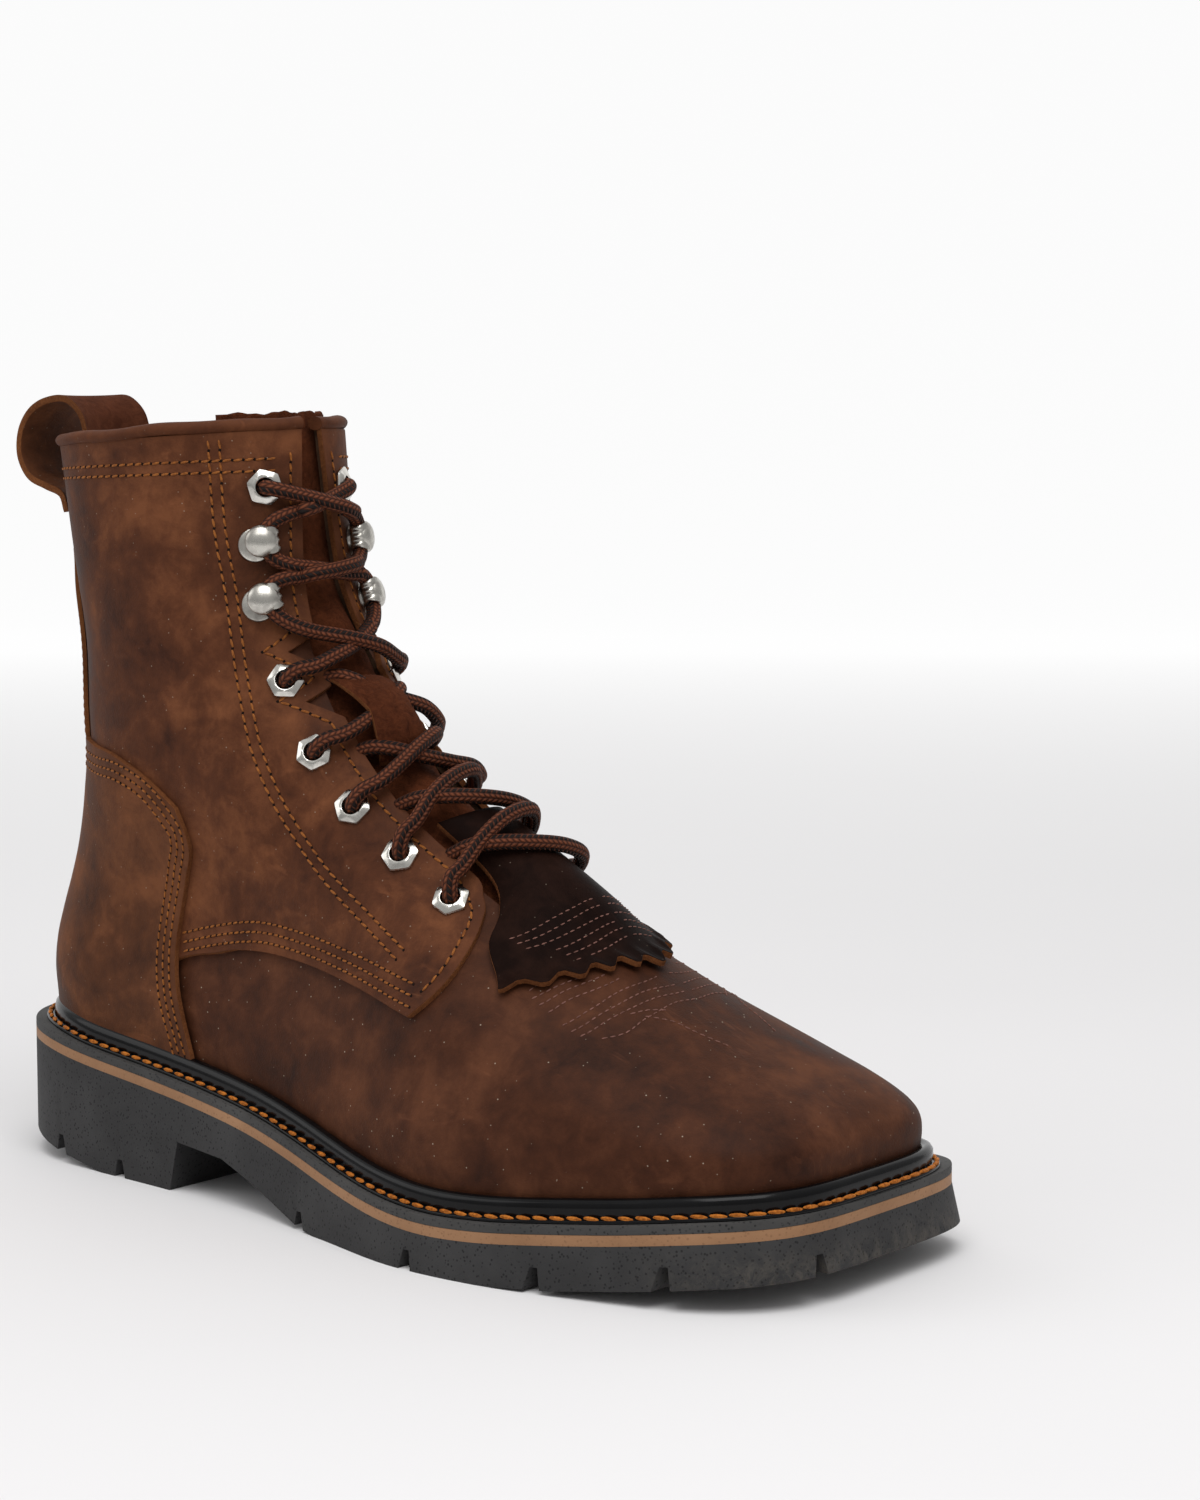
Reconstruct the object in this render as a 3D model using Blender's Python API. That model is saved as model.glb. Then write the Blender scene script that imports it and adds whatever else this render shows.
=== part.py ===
"""Right-foot kiltie lace boot: square toe, storm welt, striped lug sole, laced over a pinked kiltie.

Lengths are written in millimetres and turned into metres as each mesh is made.
+X runs to the toe, +Y to the inner (medial) side, +Z up; the sole stands on z = 0.
"""

import math
from collections import namedtuple

import bmesh
import bpy
import numpy as np
from mathutils import Matrix, Vector

MM = 0.001

# Driving sizes
SOLE_LENGTH = 314.0
SOLE_BACK_X, MIDDLE_Y = -154.3, 1.2  # place of the back of the sole; centres the whole boot on the origin
GAP = 0.3  # clearance between pieces that meet
STRIPE = 2.8  # tan stripe
MIDSOLE = 2.2  # dark layer over the stripe
WELT_REACH = 9.0  # from the upper's foot to the edge of the sole
WALL = 2.2  # upper
SEAT = 0.7  # clearance under an overlay, which lies over the upper's facets
OVERLAY = 1.2  # leather of quarters, counter and backstay
BACKSTAY_RISE = 1.6
INSOLE = 3.5
LACE = 4.6  # cord diameter
STACK = STRIPE + MIDSOLE + 3 * GAP  # from the outsole's top to the upper's foot

# Outline of the sole: half breadths from a curved centre line, by distance from the back of the heel
Outline = namedtuple("Outline", "along lateral medial centre")
OUTLINE = [
    Outline(0, 35.5, 36.0, 0.0),
    Outline(44, 37.5, 37.0, 0.0),
    Outline(90, 41.0, 36.0, 0.0),
    Outline(125, 45.5, 36.0, 0.3),
    Outline(160, 54.0, 40.5, 1.0),
    Outline(200, 64.0, 48.5, 2.2),
    Outline(232, 64.5, 53.0, 3.5),
    Outline(262, 60.5, 54.2, 5.2),
    Outline(290, 55.5, 53.0, 6.6),
    Outline(314, 49.0, 51.0, 7.6),
]
HEEL_ROUND, HEEL_POWER = 42.0, 2.15
TOE_ROUND = {-1: 36.0, 1: 22.0}  # corner length on the lateral and medial side
TOE_POWER, TOE_FLAT = 2.3, 4.2

# Top of the outsole, and what its underside stands on
Height = namedtuple("Height", "along top")
OUTSOLE_TOP = [
    Height(0, 37.3),
    Height(25, 35.9),
    Height(50, 32.6),
    Height(75, 30.0),
    Height(98, 27.4),
    Height(125, 23.5),
    Height(147, 19.4),
    Height(170, 14.4),
    Height(190, 11.6),
    Height(208, 10.4),
    Height(225, 10.9),
    Height(245, 12.7),
    Height(265, 14.8),
    Height(290, 17.9),
    Height(314, 19.6),
]
Ground = namedtuple("Ground", "along height")
GROUND = [
    Ground(0, 9.2),
    Ground(12, 7.2),
    Ground(25, 4.9),
    Ground(40, 2.4),
    Ground(54, 0.0),
    Ground(87, 0.0),
    Ground(91, 15.5),
    Ground(112, 13.8),
    Ground(150, 1.0),
    Ground(158, 0.0),
    Ground(228, 0.0),
    Ground(250, 1.4),
    Ground(270, 3.8),
    Ground(290, 6.4),
    Ground(314, 8.4),
]
Groove = namedtuple("Groove", "along across turn length")
GROOVES = [
    Groove(34, 0, 0, 140),
    Groove(63, 0, 0, 140),
    Groove(156, 0, -5, 160),
    Groove(209, 0, -5, 160),
    Groove(252, 0, -5, 160),
    Groove(289, 0, -5, 160),
    Groove(314, -21, 78, 44),
]
FLARE = 1.8  # of the outsole's foot
GROOVE_DEPTH, GROOVE_MOUTH, GROOVE_ROOT = 5.5, 4.8, 2.2

# Sections of the last, from the feather edge to the collar; each loops from the back line to the front line
Section = namedtuple("Section", "back back_z front front_z lean oval half tip flat heel sag")
LAST = [
    Section(9.5, 0, 306.5, 0, 1.00, 0.00, 34.0, 34, 4.6, 38, 1.00),
    Section(9.2, 51.0, 308.0, 34.0, 1.03, 0.00, 34.0, 34, 4.6, 38, 0.95),
    Section(8.8, 59.8, 307.0, 41.5, 1.04, 0.00, 34.0, 38, 4.0, 38, 0.80),
    Section(9.6, 68.6, 300.0, 49.0, 1.00, 0.00, 34.0, 54, 3.4, 39, 0.55),
    Section(11.6, 77.6, 285.0, 57.5, 0.93, 0.00, 34.0, 70, 2.9, 41, 0.30),
    Section(14.4, 87.0, 264.0, 67.5, 0.87, 0.05, 34.0, 88, 2.5, 43, 0.12),
    Section(17.7, 97.0, 239.0, 79.5, 0.83, 0.18, 34.0, 100, 2.1, 45, 0.00),
    Section(21.0, 107.0, 213.0, 93.0, 0.83, 0.38, 34.0, 105, 2.0, 47, 0.00),
    Section(24.0, 117.0, 190.0, 106.5, 0.84, 0.62, 34.0, 95, 2.0, 48, 0.00),
    Section(26.5, 128.0, 168.0, 120.5, 0.86, 0.85, 34.0, 80, 2.0, 49, 0.00),
    Section(26.0, 142.0, 148.5, 136.5, 0.90, 1.00, 33.5, 64, 2.0, 50, 0.00),
    Section(24.3, 161.0, 130.5, 157.0, 1.00, 1.00, 33.0, 54, 2.0, 50, 0.00),
    Section(21.0, 187.0, 117.5, 185.0, 1.00, 1.00, 33.0, 49, 2.0, 48, 0.00),
    Section(15.0, 226.0, 111.5, 233.0, 1.00, 1.00, 34.0, 48, 2.0, 48, 0.00),
]
COLLAR = len(LAST) - 1
ANKLE_POWER = 2.1

RIM = 12.88  # level of the upper's top edge, under the collar's binding
LEVELS = np.array([0, 1, 2, 3, 4, *np.arange(5, 12.1, 0.5), 12.45, RIM])
COLUMNS = 44  # of the upper, all round

# Half widths of the throat on either side of its middle, by level; below the first level the vamp is whole
Throat = namedtuple("Throat", "level lateral medial")
THROAT = [
    Throat(6.6, 0.0, 0.0),
    Throat(7.0, 17.0, 17.0),
    Throat(8.0, 16.7, 16.7),
    Throat(9.0, 16.0, 16.0),
    Throat(10.0, 14.6, 14.2),
    Throat(11.0, 12.0, 9.0),
    Throat(12.0, 9.6, 3.2),
    Throat(13.0, 6.0, 0.2),
]
NOTCHES = [Throat(10.62, 19.5, 17.5), Throat(11.25, 18.5, 14.0)]  # points of each eyestay's two notches
NOTCH_OPEN = 0.22  # levels from a notch's point to its mouth
SIDE_NAME = {-1: "lateral", 1: "medial"}

# Edges of the overlays, as turn from the back (0) to the front (1) by level
Edge = namedtuple("Edge", "level turn")
TAB = [
    Edge(4.54, 0.617),
    Edge(5.32, 0.675),
    Edge(6.19, 0.741),
    Edge(6.7, 0.785),
    Edge(7.0, 0.812),
    Edge(7.7, 0.847),
]
COUNTER_FRONT = [
    Edge(0.8, 0.353),
    Edge(2.1, 0.343),
    Edge(3.1, 0.339),
    Edge(4.1, 0.342),
    Edge(5.2, 0.355),
    Edge(6.3, 0.382),
    Edge(7.2, 0.413),
    Edge(8.4, 0.426),
]
# Lower edge of a quarter and upper edge of the counter, by share of the way to their front edge
Rim = namedtuple("Rim", "share level")
QUARTER_FOOT = [
    Rim(0.0, 0.85),
    Rim(0.42, 0.85),
    Rim(0.53, 3.5),
    Rim(0.63, 4.3),
    Rim(0.69, 4.69),
    Rim(0.775, 4.85),
    Rim(0.877, 4.78),
    Rim(1.0, 4.54),
]
COUNTER_TOP = [Rim(0.0, 9.4), Rim(0.6, 9.4), Rim(0.8, 9.25), Rim(0.92, 8.85), Rim(1.0, 8.3)]

# Lace holes: height and distance from the centre of the throat, from the top down
Hole = namedtuple("Hole", "kind height lateral medial")
HOLES = [
    Hole("eyelet", 212.3, 17.0, 9.5),
    Hole("hook", 196.1, 18.6, 11.5),
    Hole("hook", 178.4, 19.8, 13.0),
    Hole("eyelet", 154.9, 21.2, 18.0),
    Hole("eyelet", 134.6, 23.2, 22.8),
    Hole("eyelet", 119.7, 23.6, 22.8),
    Hole("eyelet", 107.2, 24.2, 22.6),
    Hole("eyelet", 96.0, 25.6, 23.0),
]
EYELET_HOLE, EYELET_FLATS, EYELET_THICK = 2.8, 4.5, 1.2
HOOK_WIDTH, HOOK_RISE, HOOK_THICK = 5.0, 6.6, 0.9

# Kiltie: turn of its side edges and its rise over the tongue by level, and the level of its pinked edge
Kiltie = namedtuple("Kiltie", "level turn rise")
KILTIE = [
    Kiltie(5.3, 0.732, 0.0),
    Kiltie(5.6, 0.742, 0.0),
    Kiltie(6.3, 0.768, 1.4),
    Kiltie(6.9, 0.824, 5.0),
    Kiltie(7.4, 0.864, 6.4),
    Kiltie(8.7, 0.876, 4.6),
]
KILTIE_FOOT = [  # share from -1 (lateral) to 1 (medial)
    Rim(-1.0, 5.44),
    Rim(-0.8, 5.66),
    Rim(-0.55, 5.88),
    Rim(-0.25, 6.02),
    Rim(0.0, 5.98),
    Rim(0.25, 6.05),
    Rim(0.55, 6.12),
    Rim(0.8, 6.2),
    Rim(1.0, 6.25),
]
KILTIE_TOP, KILTIE_THICK, PINKING = 8.6, 1.6, 0.05

# Pull loop, from inside the collar to the outside of the back; bend is its share of the collar's curve
Strap = namedtuple("Strap", "along height bend")
STRAP = [
    Strap(24.6, 206.0, 1.0),
    Strap(22.4, 220.0, 1.0),
    Strap(21.2, 228.0, 1.0),
    Strap(19.6, 233.5, 0.8),
    Strap(15.0, 237.6, 0.45),
    Strap(7.5, 237.4, 0.15),
    Strap(0.0, 234.0, 0.0),
    Strap(-4.8, 227.5, 0.0),
    Strap(-5.2, 220.0, 0.0),
    Strap(-1.6, 214.0, 0.15),
    Strap(5.0, 211.0, 0.5),
    Strap(10.4, 208.6, 0.9),
    Strap(12.6, 203.0, 1.0),
]
STRAP_WIDTH, STRAP_THICK, COLLAR_CURVE = 27.0, 2.0, 25.0


def column(rows, name):
    return np.array([getattr(row, name) for row in rows], float)


def smooth(knots, values, at):
    """Cubic curve through the values, without overshoot at its ends."""
    slopes = np.gradient(values, knots)
    at = np.clip(at, knots[0], knots[-1])
    i = np.clip(np.searchsorted(knots, at, side="right") - 1, 0, len(knots) - 2)
    step = knots[i + 1] - knots[i]
    f = (at - knots[i]) / step
    rise = values[i + 1] - values[i]
    return (
        values[i]
        + rise * f * f * (3 - 2 * f)
        + step * slopes[i] * f * (1 - f) ** 2
        - step * slopes[i + 1] * f * f * (1 - f)
    )


def along_curve(rows, name, along):
    return smooth(column(rows, "along"), column(rows, name), along)


def rounded(distance, length, power, flat):
    """1 in the body of an outline, falling to 0 at its end."""
    part = np.clip(1 - distance / length, 0, 1)
    return (1 - part**power) ** (1 / flat)


def feather(along):
    """Height of the upper's foot."""
    return along_curve(OUTSOLE_TOP, "top", along) + STACK


def breadth(along, side):
    """Half breadth of the sole from its centre line, before its ends are rounded."""
    lateral, medial = (along_curve(OUTLINE, name, along) for name in ("lateral", "medial"))
    return np.where(side < 0, lateral, medial)


def sole_edge(along, side):
    """Y of the sole's edge."""
    half = breadth(along, side)
    half = half * rounded(along, HEEL_ROUND, HEEL_POWER, HEEL_POWER)
    half = half * rounded(SOLE_LENGTH - along, TOE_ROUND[side], TOE_POWER, TOE_FLAT)
    return along_curve(OUTLINE, "centre", along) + side * half


def last_point(turn, level, out=0.0):
    """Point of the upper's outer face; turn runs from 0 (back) to 1 (front), or -1 on the lateral side."""
    turn, level = np.broadcast_arrays(np.asarray(turn, float), np.asarray(level, float))
    if out:
        return last_point(turn, level) + out * last_normal(turn, level)
    knots = np.arange(len(LAST), dtype=float)
    row = {name: smooth(knots, column(LAST, name), level) for name in Section._fields}
    first = LAST[0]
    ends = {"back": feather(first.back), "front": feather(first.front)}
    share = np.clip(level, 0, 1)
    back_z = np.where(level < 1, ends["back"] + share * (LAST[1].back_z - ends["back"]), row["back_z"])
    front_z = np.where(level < 1, ends["front"] + share * (LAST[1].front_z - ends["front"]), row["front_z"])
    angle = math.pi * turn
    side = np.where(np.sin(angle) < 0, -1, 1)
    part = (1 - np.cos(angle)) / 2
    along = row["back"] + part * (row["front"] - row["back"])
    half = (breadth(along, side) - WELT_REACH) * row["lean"] * (1 - row["oval"]) + row["half"] * row["oval"]
    half = half * rounded(along - row["back"], row["heel"], ANKLE_POWER, ANKLE_POWER)
    tip = row["tip"] * np.where(side > 0, 0.75 + 0.25 * row["oval"], 1.0)
    half = half * rounded(row["front"] - along, tip, 2.0 + (row["flat"] - 2) * 0.15, row["flat"])
    across = along_curve(OUTLINE, "centre", along) * (1 - row["oval"]) + side * half
    slope = (ends["front"] - ends["back"]) / (first.front - first.back)
    straight = ends["back"] + (along - first.back) * slope
    height = back_z + part * (front_z - back_z) + row["sag"] * (feather(along) - straight)
    return np.stack([along, across, height], -1)


def last_normal(turn, level):
    """Outward unit normal of the upper."""
    step = 2e-3
    around = last_point(turn + step, level) - last_point(turn - step, level)
    above, below = np.minimum(level + step, COLLAR), np.maximum(level - step, 0)
    normal = np.cross(last_point(turn, above) - last_point(turn, below), around)
    return normal / np.linalg.norm(normal, axis=-1, keepdims=True)


def throat_turn(level, across):
    """Turn at which a section lies this far across from the throat's centre; lateral is negative."""
    level, across = np.broadcast_arrays(np.asarray(level, float), np.asarray(across, float))
    side = np.where(across < 0, -1.0, 1.0)
    low, high = np.full(level.shape, 0.45), np.ones(level.shape)
    for _ in range(22):
        middle = (low + high) / 2
        reach = last_point(side * middle, level)[..., 1] - last_point(np.ones(level.shape), level)[..., 1]
        wide = side * reach > np.abs(across)
        low, high = np.where(wide, middle, low), np.where(wide, high, middle)
    return side * high


def throat_half(level, side, wider=0.0):
    """Distance from the throat's middle to its edge on one side."""
    half = by_level(THROAT, SIDE_NAME[side], level)
    return np.where(half > 0, half + wider, 0.0)


def by_level(rows, name, level):
    return np.interp(level, column(rows, "level"), column(rows, name))


def by_share(rows, share):
    return np.interp(share, column(rows, "share"), column(rows, "level"))


def quarter_front(level, side):
    """Turn of a quarter's front edge: the tab over the vamp, then the eyestay with its notches."""
    half = throat_half(np.maximum(level, 7.0), side)
    for notch in NOTCHES:
        depth = np.clip(1 - np.abs(level - notch.level) / NOTCH_OPEN, 0, 1)
        half = half + depth * (getattr(notch, SIDE_NAME[side]) - half)
    eyestay = side * throat_turn(np.maximum(level, 7.0), side * half)
    return np.where(level < 7.7, by_level(TAB, "turn", level), eyestay)


def front_seat(hole, side):
    """Turn and level of a lace hole."""
    low, high = 5.0, float(COLLAR)
    across = side * getattr(hole, SIDE_NAME[side])
    for _ in range(22):
        level = (low + high) / 2
        turn = float(throat_turn(level, across))
        low, high = (level, high) if last_point(turn, level)[2] < hole.height else (low, level)
    return turn, level


# Blender helpers


def material(name, colour, roughness, metallic=0.0):
    made = bpy.data.materials.new(name)
    made.use_nodes = True
    shader = made.node_tree.nodes["Principled BSDF"]
    shader.inputs["Base Color"].default_value = (*colour, 1.0)
    shader.inputs["Roughness"].default_value = roughness
    shader.inputs["Metallic"].default_value = metallic
    return made


def placed(points):
    """Millimetres from the back of the sole to metres from the origin."""
    moved = np.array(points, float)
    moved[..., 0] += SOLE_BACK_X
    moved[..., 1] += MIDDLE_Y
    return moved * MM


def add(name, mesh, finish, collection):
    obj = bpy.data.objects.new(name, mesh)
    collection.objects.link(obj)
    mesh.materials.append(finish)
    return obj


def finish_mesh(bm, name, weld=0.00002):
    bmesh.ops.remove_doubles(bm, verts=bm.verts, dist=weld)
    bmesh.ops.recalc_face_normals(bm, faces=bm.faces)
    bmesh.ops.triangulate(bm, faces=bm.faces)
    mesh = bpy.data.meshes.new(name)
    bm.to_mesh(mesh)
    bm.free()
    return mesh


def grid(columns, rows, points):
    """A bmesh grid whose vertices are put on an array of points of shape (rows, columns, 3)."""
    bm = bmesh.new()
    bmesh.ops.create_grid(bm, x_segments=columns - 1, y_segments=rows - 1, size=1)
    bm.verts.ensure_lookup_table()
    for vertex, point in zip(bm.verts, placed(points).reshape(-1, 3)):
        vertex.co = point
    return bm


def thicken(name, inner, outer):
    """Closed solid between two like grids of points, given as arrays of shape (rows, columns, 3)."""
    rows, columns = inner.shape[:2]
    bm = grid(columns, rows, inner)
    bmesh.ops.remove_doubles(bm, verts=bm.verts, dist=0.00002)
    top = bmesh.ops.extrude_face_region(bm, geom=list(bm.faces))["geom"]
    raised = [v for v in top if isinstance(v, bmesh.types.BMVert)]
    low, high = placed(inner).reshape(-1, 3), placed(outer).reshape(-1, 3)
    lookup = {tuple(np.round(p, 9)): q for p, q in zip(low.astype(np.float32).astype(float), high)}
    for vertex in raised:
        vertex.co = lookup[tuple(np.round(vertex.co, 9))]
    return finish_mesh(bm, name)


def skin(name, turns, levels, inner, outer):
    """Closed shell between two offsets of the upper's face; turns and levels are (rows, columns) arrays."""
    return thicken(name, last_point(turns, levels, inner), last_point(turns, levels, outer))


def cutter(mesh, collection):
    obj = bpy.data.objects.new(mesh.name, mesh)
    collection.objects.link(obj)
    obj.hide_render = True
    obj.display_type = "WIRE"
    return obj


def cut(obj, tool, operation="DIFFERENCE"):
    made = obj.modifiers.new(tool.name, "BOOLEAN")
    made.operation = operation
    made.object = tool


# Sole


def sole_stations():
    """Distances from the heel, close together where the ends are round."""
    heel = HEEL_ROUND * (1 - np.cos(np.linspace(0.12, math.pi / 2, 9)))
    middle = np.linspace(HEEL_ROUND, SOLE_LENGTH - TOE_ROUND[-1], 22)[1:-1]
    toe = SOLE_LENGTH - TOE_ROUND[-1] * (1 - np.cos(np.linspace(math.pi / 2, 0.06, 9)))
    return np.concatenate([heel, middle, toe])


def sole_layer(name, bottom, top, across=3, flare=0.0, stations=None):
    """Layer of the sole between two heights that follow its length; its foot may flare out."""
    stations = sole_stations() if stations is None else stations
    share = np.linspace(0, 1, across)[:, None]
    faces = []
    for height, reach in ((bottom, flare), (top, 0.0)):
        reach = reach * np.clip((stations - 130) / 60, 0, 1)
        lateral, medial = (sole_edge(stations, side) + side * reach for side in (-1, 1))
        y = lateral + share * (medial - lateral)
        x = stations + reach
        z = height(stations)
        faces.append(np.stack(np.broadcast_arrays(x, y, z), -1))
    return thicken(name, *faces)


def outsole(collection, tools, finish):
    def ground(along):
        return np.interp(along, column(GROUND, "along"), column(GROUND, "height"))

    def top(along):
        return along_curve(OUTSOLE_TOP, "top", along)

    breaks = [row.along for row in GROUND if 0 < row.along < 295]
    stations = np.unique(np.concatenate([sole_stations(), breaks]))
    keep = np.concatenate([[True], np.diff(stations) > 1.5])
    obj = add("outsole", sole_layer("outsole", ground, top, 3, FLARE, stations[keep]), finish, collection)
    for number, groove in enumerate(GROOVES):
        cut(obj, groove_cutter(f"groove_{number}", groove, tools))
    return obj


def groove_cutter(name, groove, tools):
    """Tapered bar that cuts one groove between lugs."""
    below = 4.0
    floor = float(np.interp(groove.along, column(GROUND, "along"), column(GROUND, "height")))
    taper = (GROOVE_MOUTH - GROOVE_ROOT) / GROOVE_DEPTH
    mouth = GROOVE_MOUTH + taper * below
    bm = bmesh.new()
    bmesh.ops.create_cube(bm, size=1)
    for vertex in bm.verts:
        width = GROOVE_ROOT if vertex.co.z > 0 else mouth
        height = GROOVE_DEPTH if vertex.co.z > 0 else -below
        vertex.co = Vector((vertex.co.x * width, vertex.co.y * groove.length, height)) * MM
    turn = Matrix.Rotation(math.radians(groove.turn), 4, "Z")
    place = placed([(groove.along, groove.across, floor)])[0]
    bmesh.ops.transform(bm, matrix=Matrix.Translation(place) @ turn, verts=bm.verts)
    return cutter(finish_mesh(bm, name), tools)


WELT_PROFILE = [  # distance out from the upper, height over the midsole
    (GAP, 0.3),
    (GAP, 5.6),
    (1.5, 6.2),
    (3.0, 5.8),
    (4.0, 4.2),
    (4.2, 1.5),
    (6.6, 1.3),
    (6.6, 0.3),
]


def welt(turns):
    """Ring of storm welt: a bead against the upper and a flange for its stitches."""
    ring = []
    for out, height in WELT_PROFILE:
        level = np.full(turns.shape, height / 8.1)
        foot = last_point(turns, level)
        normal = last_normal(turns, level)
        normal[:, 2] = 0
        normal /= np.linalg.norm(normal, axis=-1, keepdims=True)
        foot = foot + out * normal
        foot[:, 2] = feather(foot[:, 0]) - GAP + height
        ring.append(foot)
    points = np.stack(ring + [ring[0]])
    points = np.concatenate([points, points[:, :1]], 1)
    return finish_mesh(grid(points.shape[1], points.shape[0], points), "welt")


def quarter(name, side, rows, columns):
    """Overlay of one side: from the back seam to the eyestay, and down to the seam over the vamp."""
    share = np.unique(np.concatenate([np.linspace(0.012, 1, columns), [0.42, 0.475, 0.53]]))[None, :]
    foot = by_share(QUARTER_FOOT, share)
    low = foot + np.linspace(0, 1, 5)[:, None] * (5.0 - foot)
    high = np.broadcast_to(np.array(rows)[:, None], (len(rows), share.shape[1]))
    level = np.concatenate([low, high])
    turn = side * share * quarter_front(level, side)
    return skin(name, turn, level, SEAT, SEAT + OVERLAY)


def heel_counter(name, rows, columns):
    share = np.linspace(-1, 1, columns)[None, :]
    level = 0.8 + np.linspace(0, 1, rows)[:, None] * (by_share(COUNTER_TOP, np.abs(share)) - 0.8)
    turn = share * by_level(COUNTER_FRONT, "turn", level)
    inner = 2 * SEAT + OVERLAY
    return skin(name, turn, level, inner, inner + OVERLAY)


def backstay(name):
    """Strip over the back seam, which stands off where the back is hollow."""
    level, turn = np.meshgrid(np.linspace(9.5, 12.15, 8), np.linspace(-0.17, 0.17, 5), indexing="ij")
    inner = 2 * SEAT + OVERLAY + GAP
    stand = inner + BACKSTAY_RISE * np.sin(np.linspace(0, math.pi, 8))[:, None, None]
    base, normal = last_point(turn, level), last_normal(turn, level)
    return thicken(name, base + stand * normal, base + (stand + OVERLAY) * normal)


def tongue(name):
    level = np.array([6.0, 6.6, 7.2, 8, 8.5, 9, 9.5, 10, 10.5, 11, 11.5, 12, 12.5, 13])[:, None]
    half = np.interp(level, [6, 7, 9, 13], [24, 27, 28, 26])
    across = np.linspace(-1, 1, 9)[None, :] * half
    level = np.broadcast_to(level, across.shape)
    turn = throat_turn(level, across)
    sink = np.interp(level, [7.2, 8.0], [1.6, 0.0])[..., None]  # clear of the throat's lower end
    base, normal = last_point(turn, level), last_normal(turn, level)
    faces = [base + (out - sink) * normal for out in (-WALL - 3.8, -WALL - 1.8)]
    for face in faces:
        face[-1, :, 2] += 4.0
    return thicken(name, *faces)


def lace_keeper(name):
    level, across = np.meshgrid(np.linspace(9.75, 10.5, 3), np.linspace(-7, 7, 3), indexing="ij")
    return skin(name, throat_turn(level, across), level, -WALL - 0.4, -WALL + 1.2)


def kiltie(name, rows, columns):
    share = np.linspace(-1, 1, columns)
    teeth = PINKING * np.where(np.arange(columns) % 2, 1, -1)
    foot = by_share(KILTIE_FOOT, share) + teeth
    level = foot + np.linspace(0, 1, rows)[:, None] * (KILTIE_TOP - foot)
    edge = by_level(KILTIE, "turn", level)
    turn = np.where(share < 0, -1, 1) * (1 - np.abs(share) * (1 - edge))
    lift = SEAT + 0.2 + by_level(KILTIE, "rise", level) * (1 - share**2)
    base, normal = last_point(turn, level), last_normal(turn, level)
    return thicken(name, base + lift[..., None] * normal, base + (lift + KILTIE_THICK)[..., None] * normal)


def insole(name):
    turn = np.linspace(0.03, 0.97, 24)
    sides = []
    for side in (-1, 1):
        point = last_point(side * turn, np.full(turn.shape, 0.3), -WALL - 2 * SEAT)
        sides.append(point)
    share = np.linspace(0, 1, 3)[:, None, None]
    face = sides[0] + share * (sides[1] - sides[0])
    low, high = face.copy(), face.copy()
    low[..., 2] = feather(face[..., 0])
    high[..., 2] = low[..., 2] + INSOLE
    return thicken(name, low, high)


def ring_mesh(name, rings, closed):
    """Solid swept from like cross-sections, an array of shape (stations, points, 3)."""
    points = np.concatenate([rings, rings[:, :1]], 1)
    if closed:
        points = np.concatenate([points, points[:1]])
    bm = grid(points.shape[1], points.shape[0], points)
    bmesh.ops.remove_doubles(bm, verts=bm.verts, dist=0.00002)
    bmesh.ops.holes_fill(bm, edges=[e for e in bm.edges if e.is_boundary], sides=0)
    return finish_mesh(bm, name)


def collar_binding(name):
    """Rounded roll along the top edge, open at the throat."""
    ends = [float(throat_turn(13.0, side * throat_half(13.0, side))) for side in (-1, 1)]
    turns = np.linspace(*ends, 33)
    level = np.full(turns.shape, float(COLLAR))
    foot, normal = last_point(turns, level), last_normal(turns, level)
    normal[:, 2] = 0
    normal /= np.linalg.norm(normal, axis=-1, keepdims=True)
    profile = [(-2.6, -3.2), (-2.2, -0.6), (-0.2, 0.6), (1.9, -0.6), (2.4, -3.2)]
    rings = [foot + out * normal + np.array([0, 0, rise]) for out, rise in profile]
    return ring_mesh(name, np.stack(rings, 1), False)


def pull_loop(name):
    path = np.array([(row.along, row.height) for row in STRAP])
    run = np.gradient(path, axis=0)
    run /= np.linalg.norm(run, axis=1, keepdims=True)
    across = np.linspace(-STRAP_WIDTH / 2, STRAP_WIDTH / 2, 5)
    bend = column(STRAP, "bend")[:, None] * across**2 / (2 * COLLAR_CURVE)
    faces = []
    for out in (-STRAP_THICK / 2, STRAP_THICK / 2):
        along = path[:, :1] - out * run[:, 1:] + bend
        height = np.broadcast_to(path[:, 1:] + out * run[:, :1], along.shape)
        faces.append(np.stack([along, np.broadcast_to(across, along.shape), height], -1))
    return thicken(name, *faces)


def seat_frame(hole, side):
    """Frame on a quarter's face at a lace hole: x to the right as it is seen, y up the row, z outwards."""
    turn, level = front_seat(hole, side)
    place = last_point(turn, level, SEAT + OVERLAY + 2 * GAP)
    outward = Vector(last_normal(turn, level))
    upward = Vector(last_point(turn, level + 0.05) - last_point(turn, level - 0.05))
    upward = (upward - upward.dot(outward) * outward).normalized()
    right = upward.cross(outward)
    return np.array(place), np.array(right), np.array(upward), np.array(outward), side


def on_seat(frame, local):
    place, right, upward, outward, _ = frame
    local = np.asarray(local, float)
    return place + local[..., :1] * right + local[..., 1:2] * upward + local[..., 2:] * outward


def eyelet(name, frame):
    """Six-sided ring flange."""
    angle = np.arange(6) * math.pi / 3
    corner = EYELET_FLATS / math.cos(math.pi / 6)
    rings = []
    for radius, height in (
        (EYELET_HOLE, 0.0),
        (EYELET_HOLE, EYELET_THICK),
        (corner, EYELET_THICK * 0.7),
        (corner, 0.0),
    ):
        flat = np.stack([radius * np.cos(angle), radius * np.sin(angle), np.full(6, height)], -1)
        rings.append(on_seat(frame, flat))
    return ring_mesh(name, np.stack(rings, 1), True)


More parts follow.
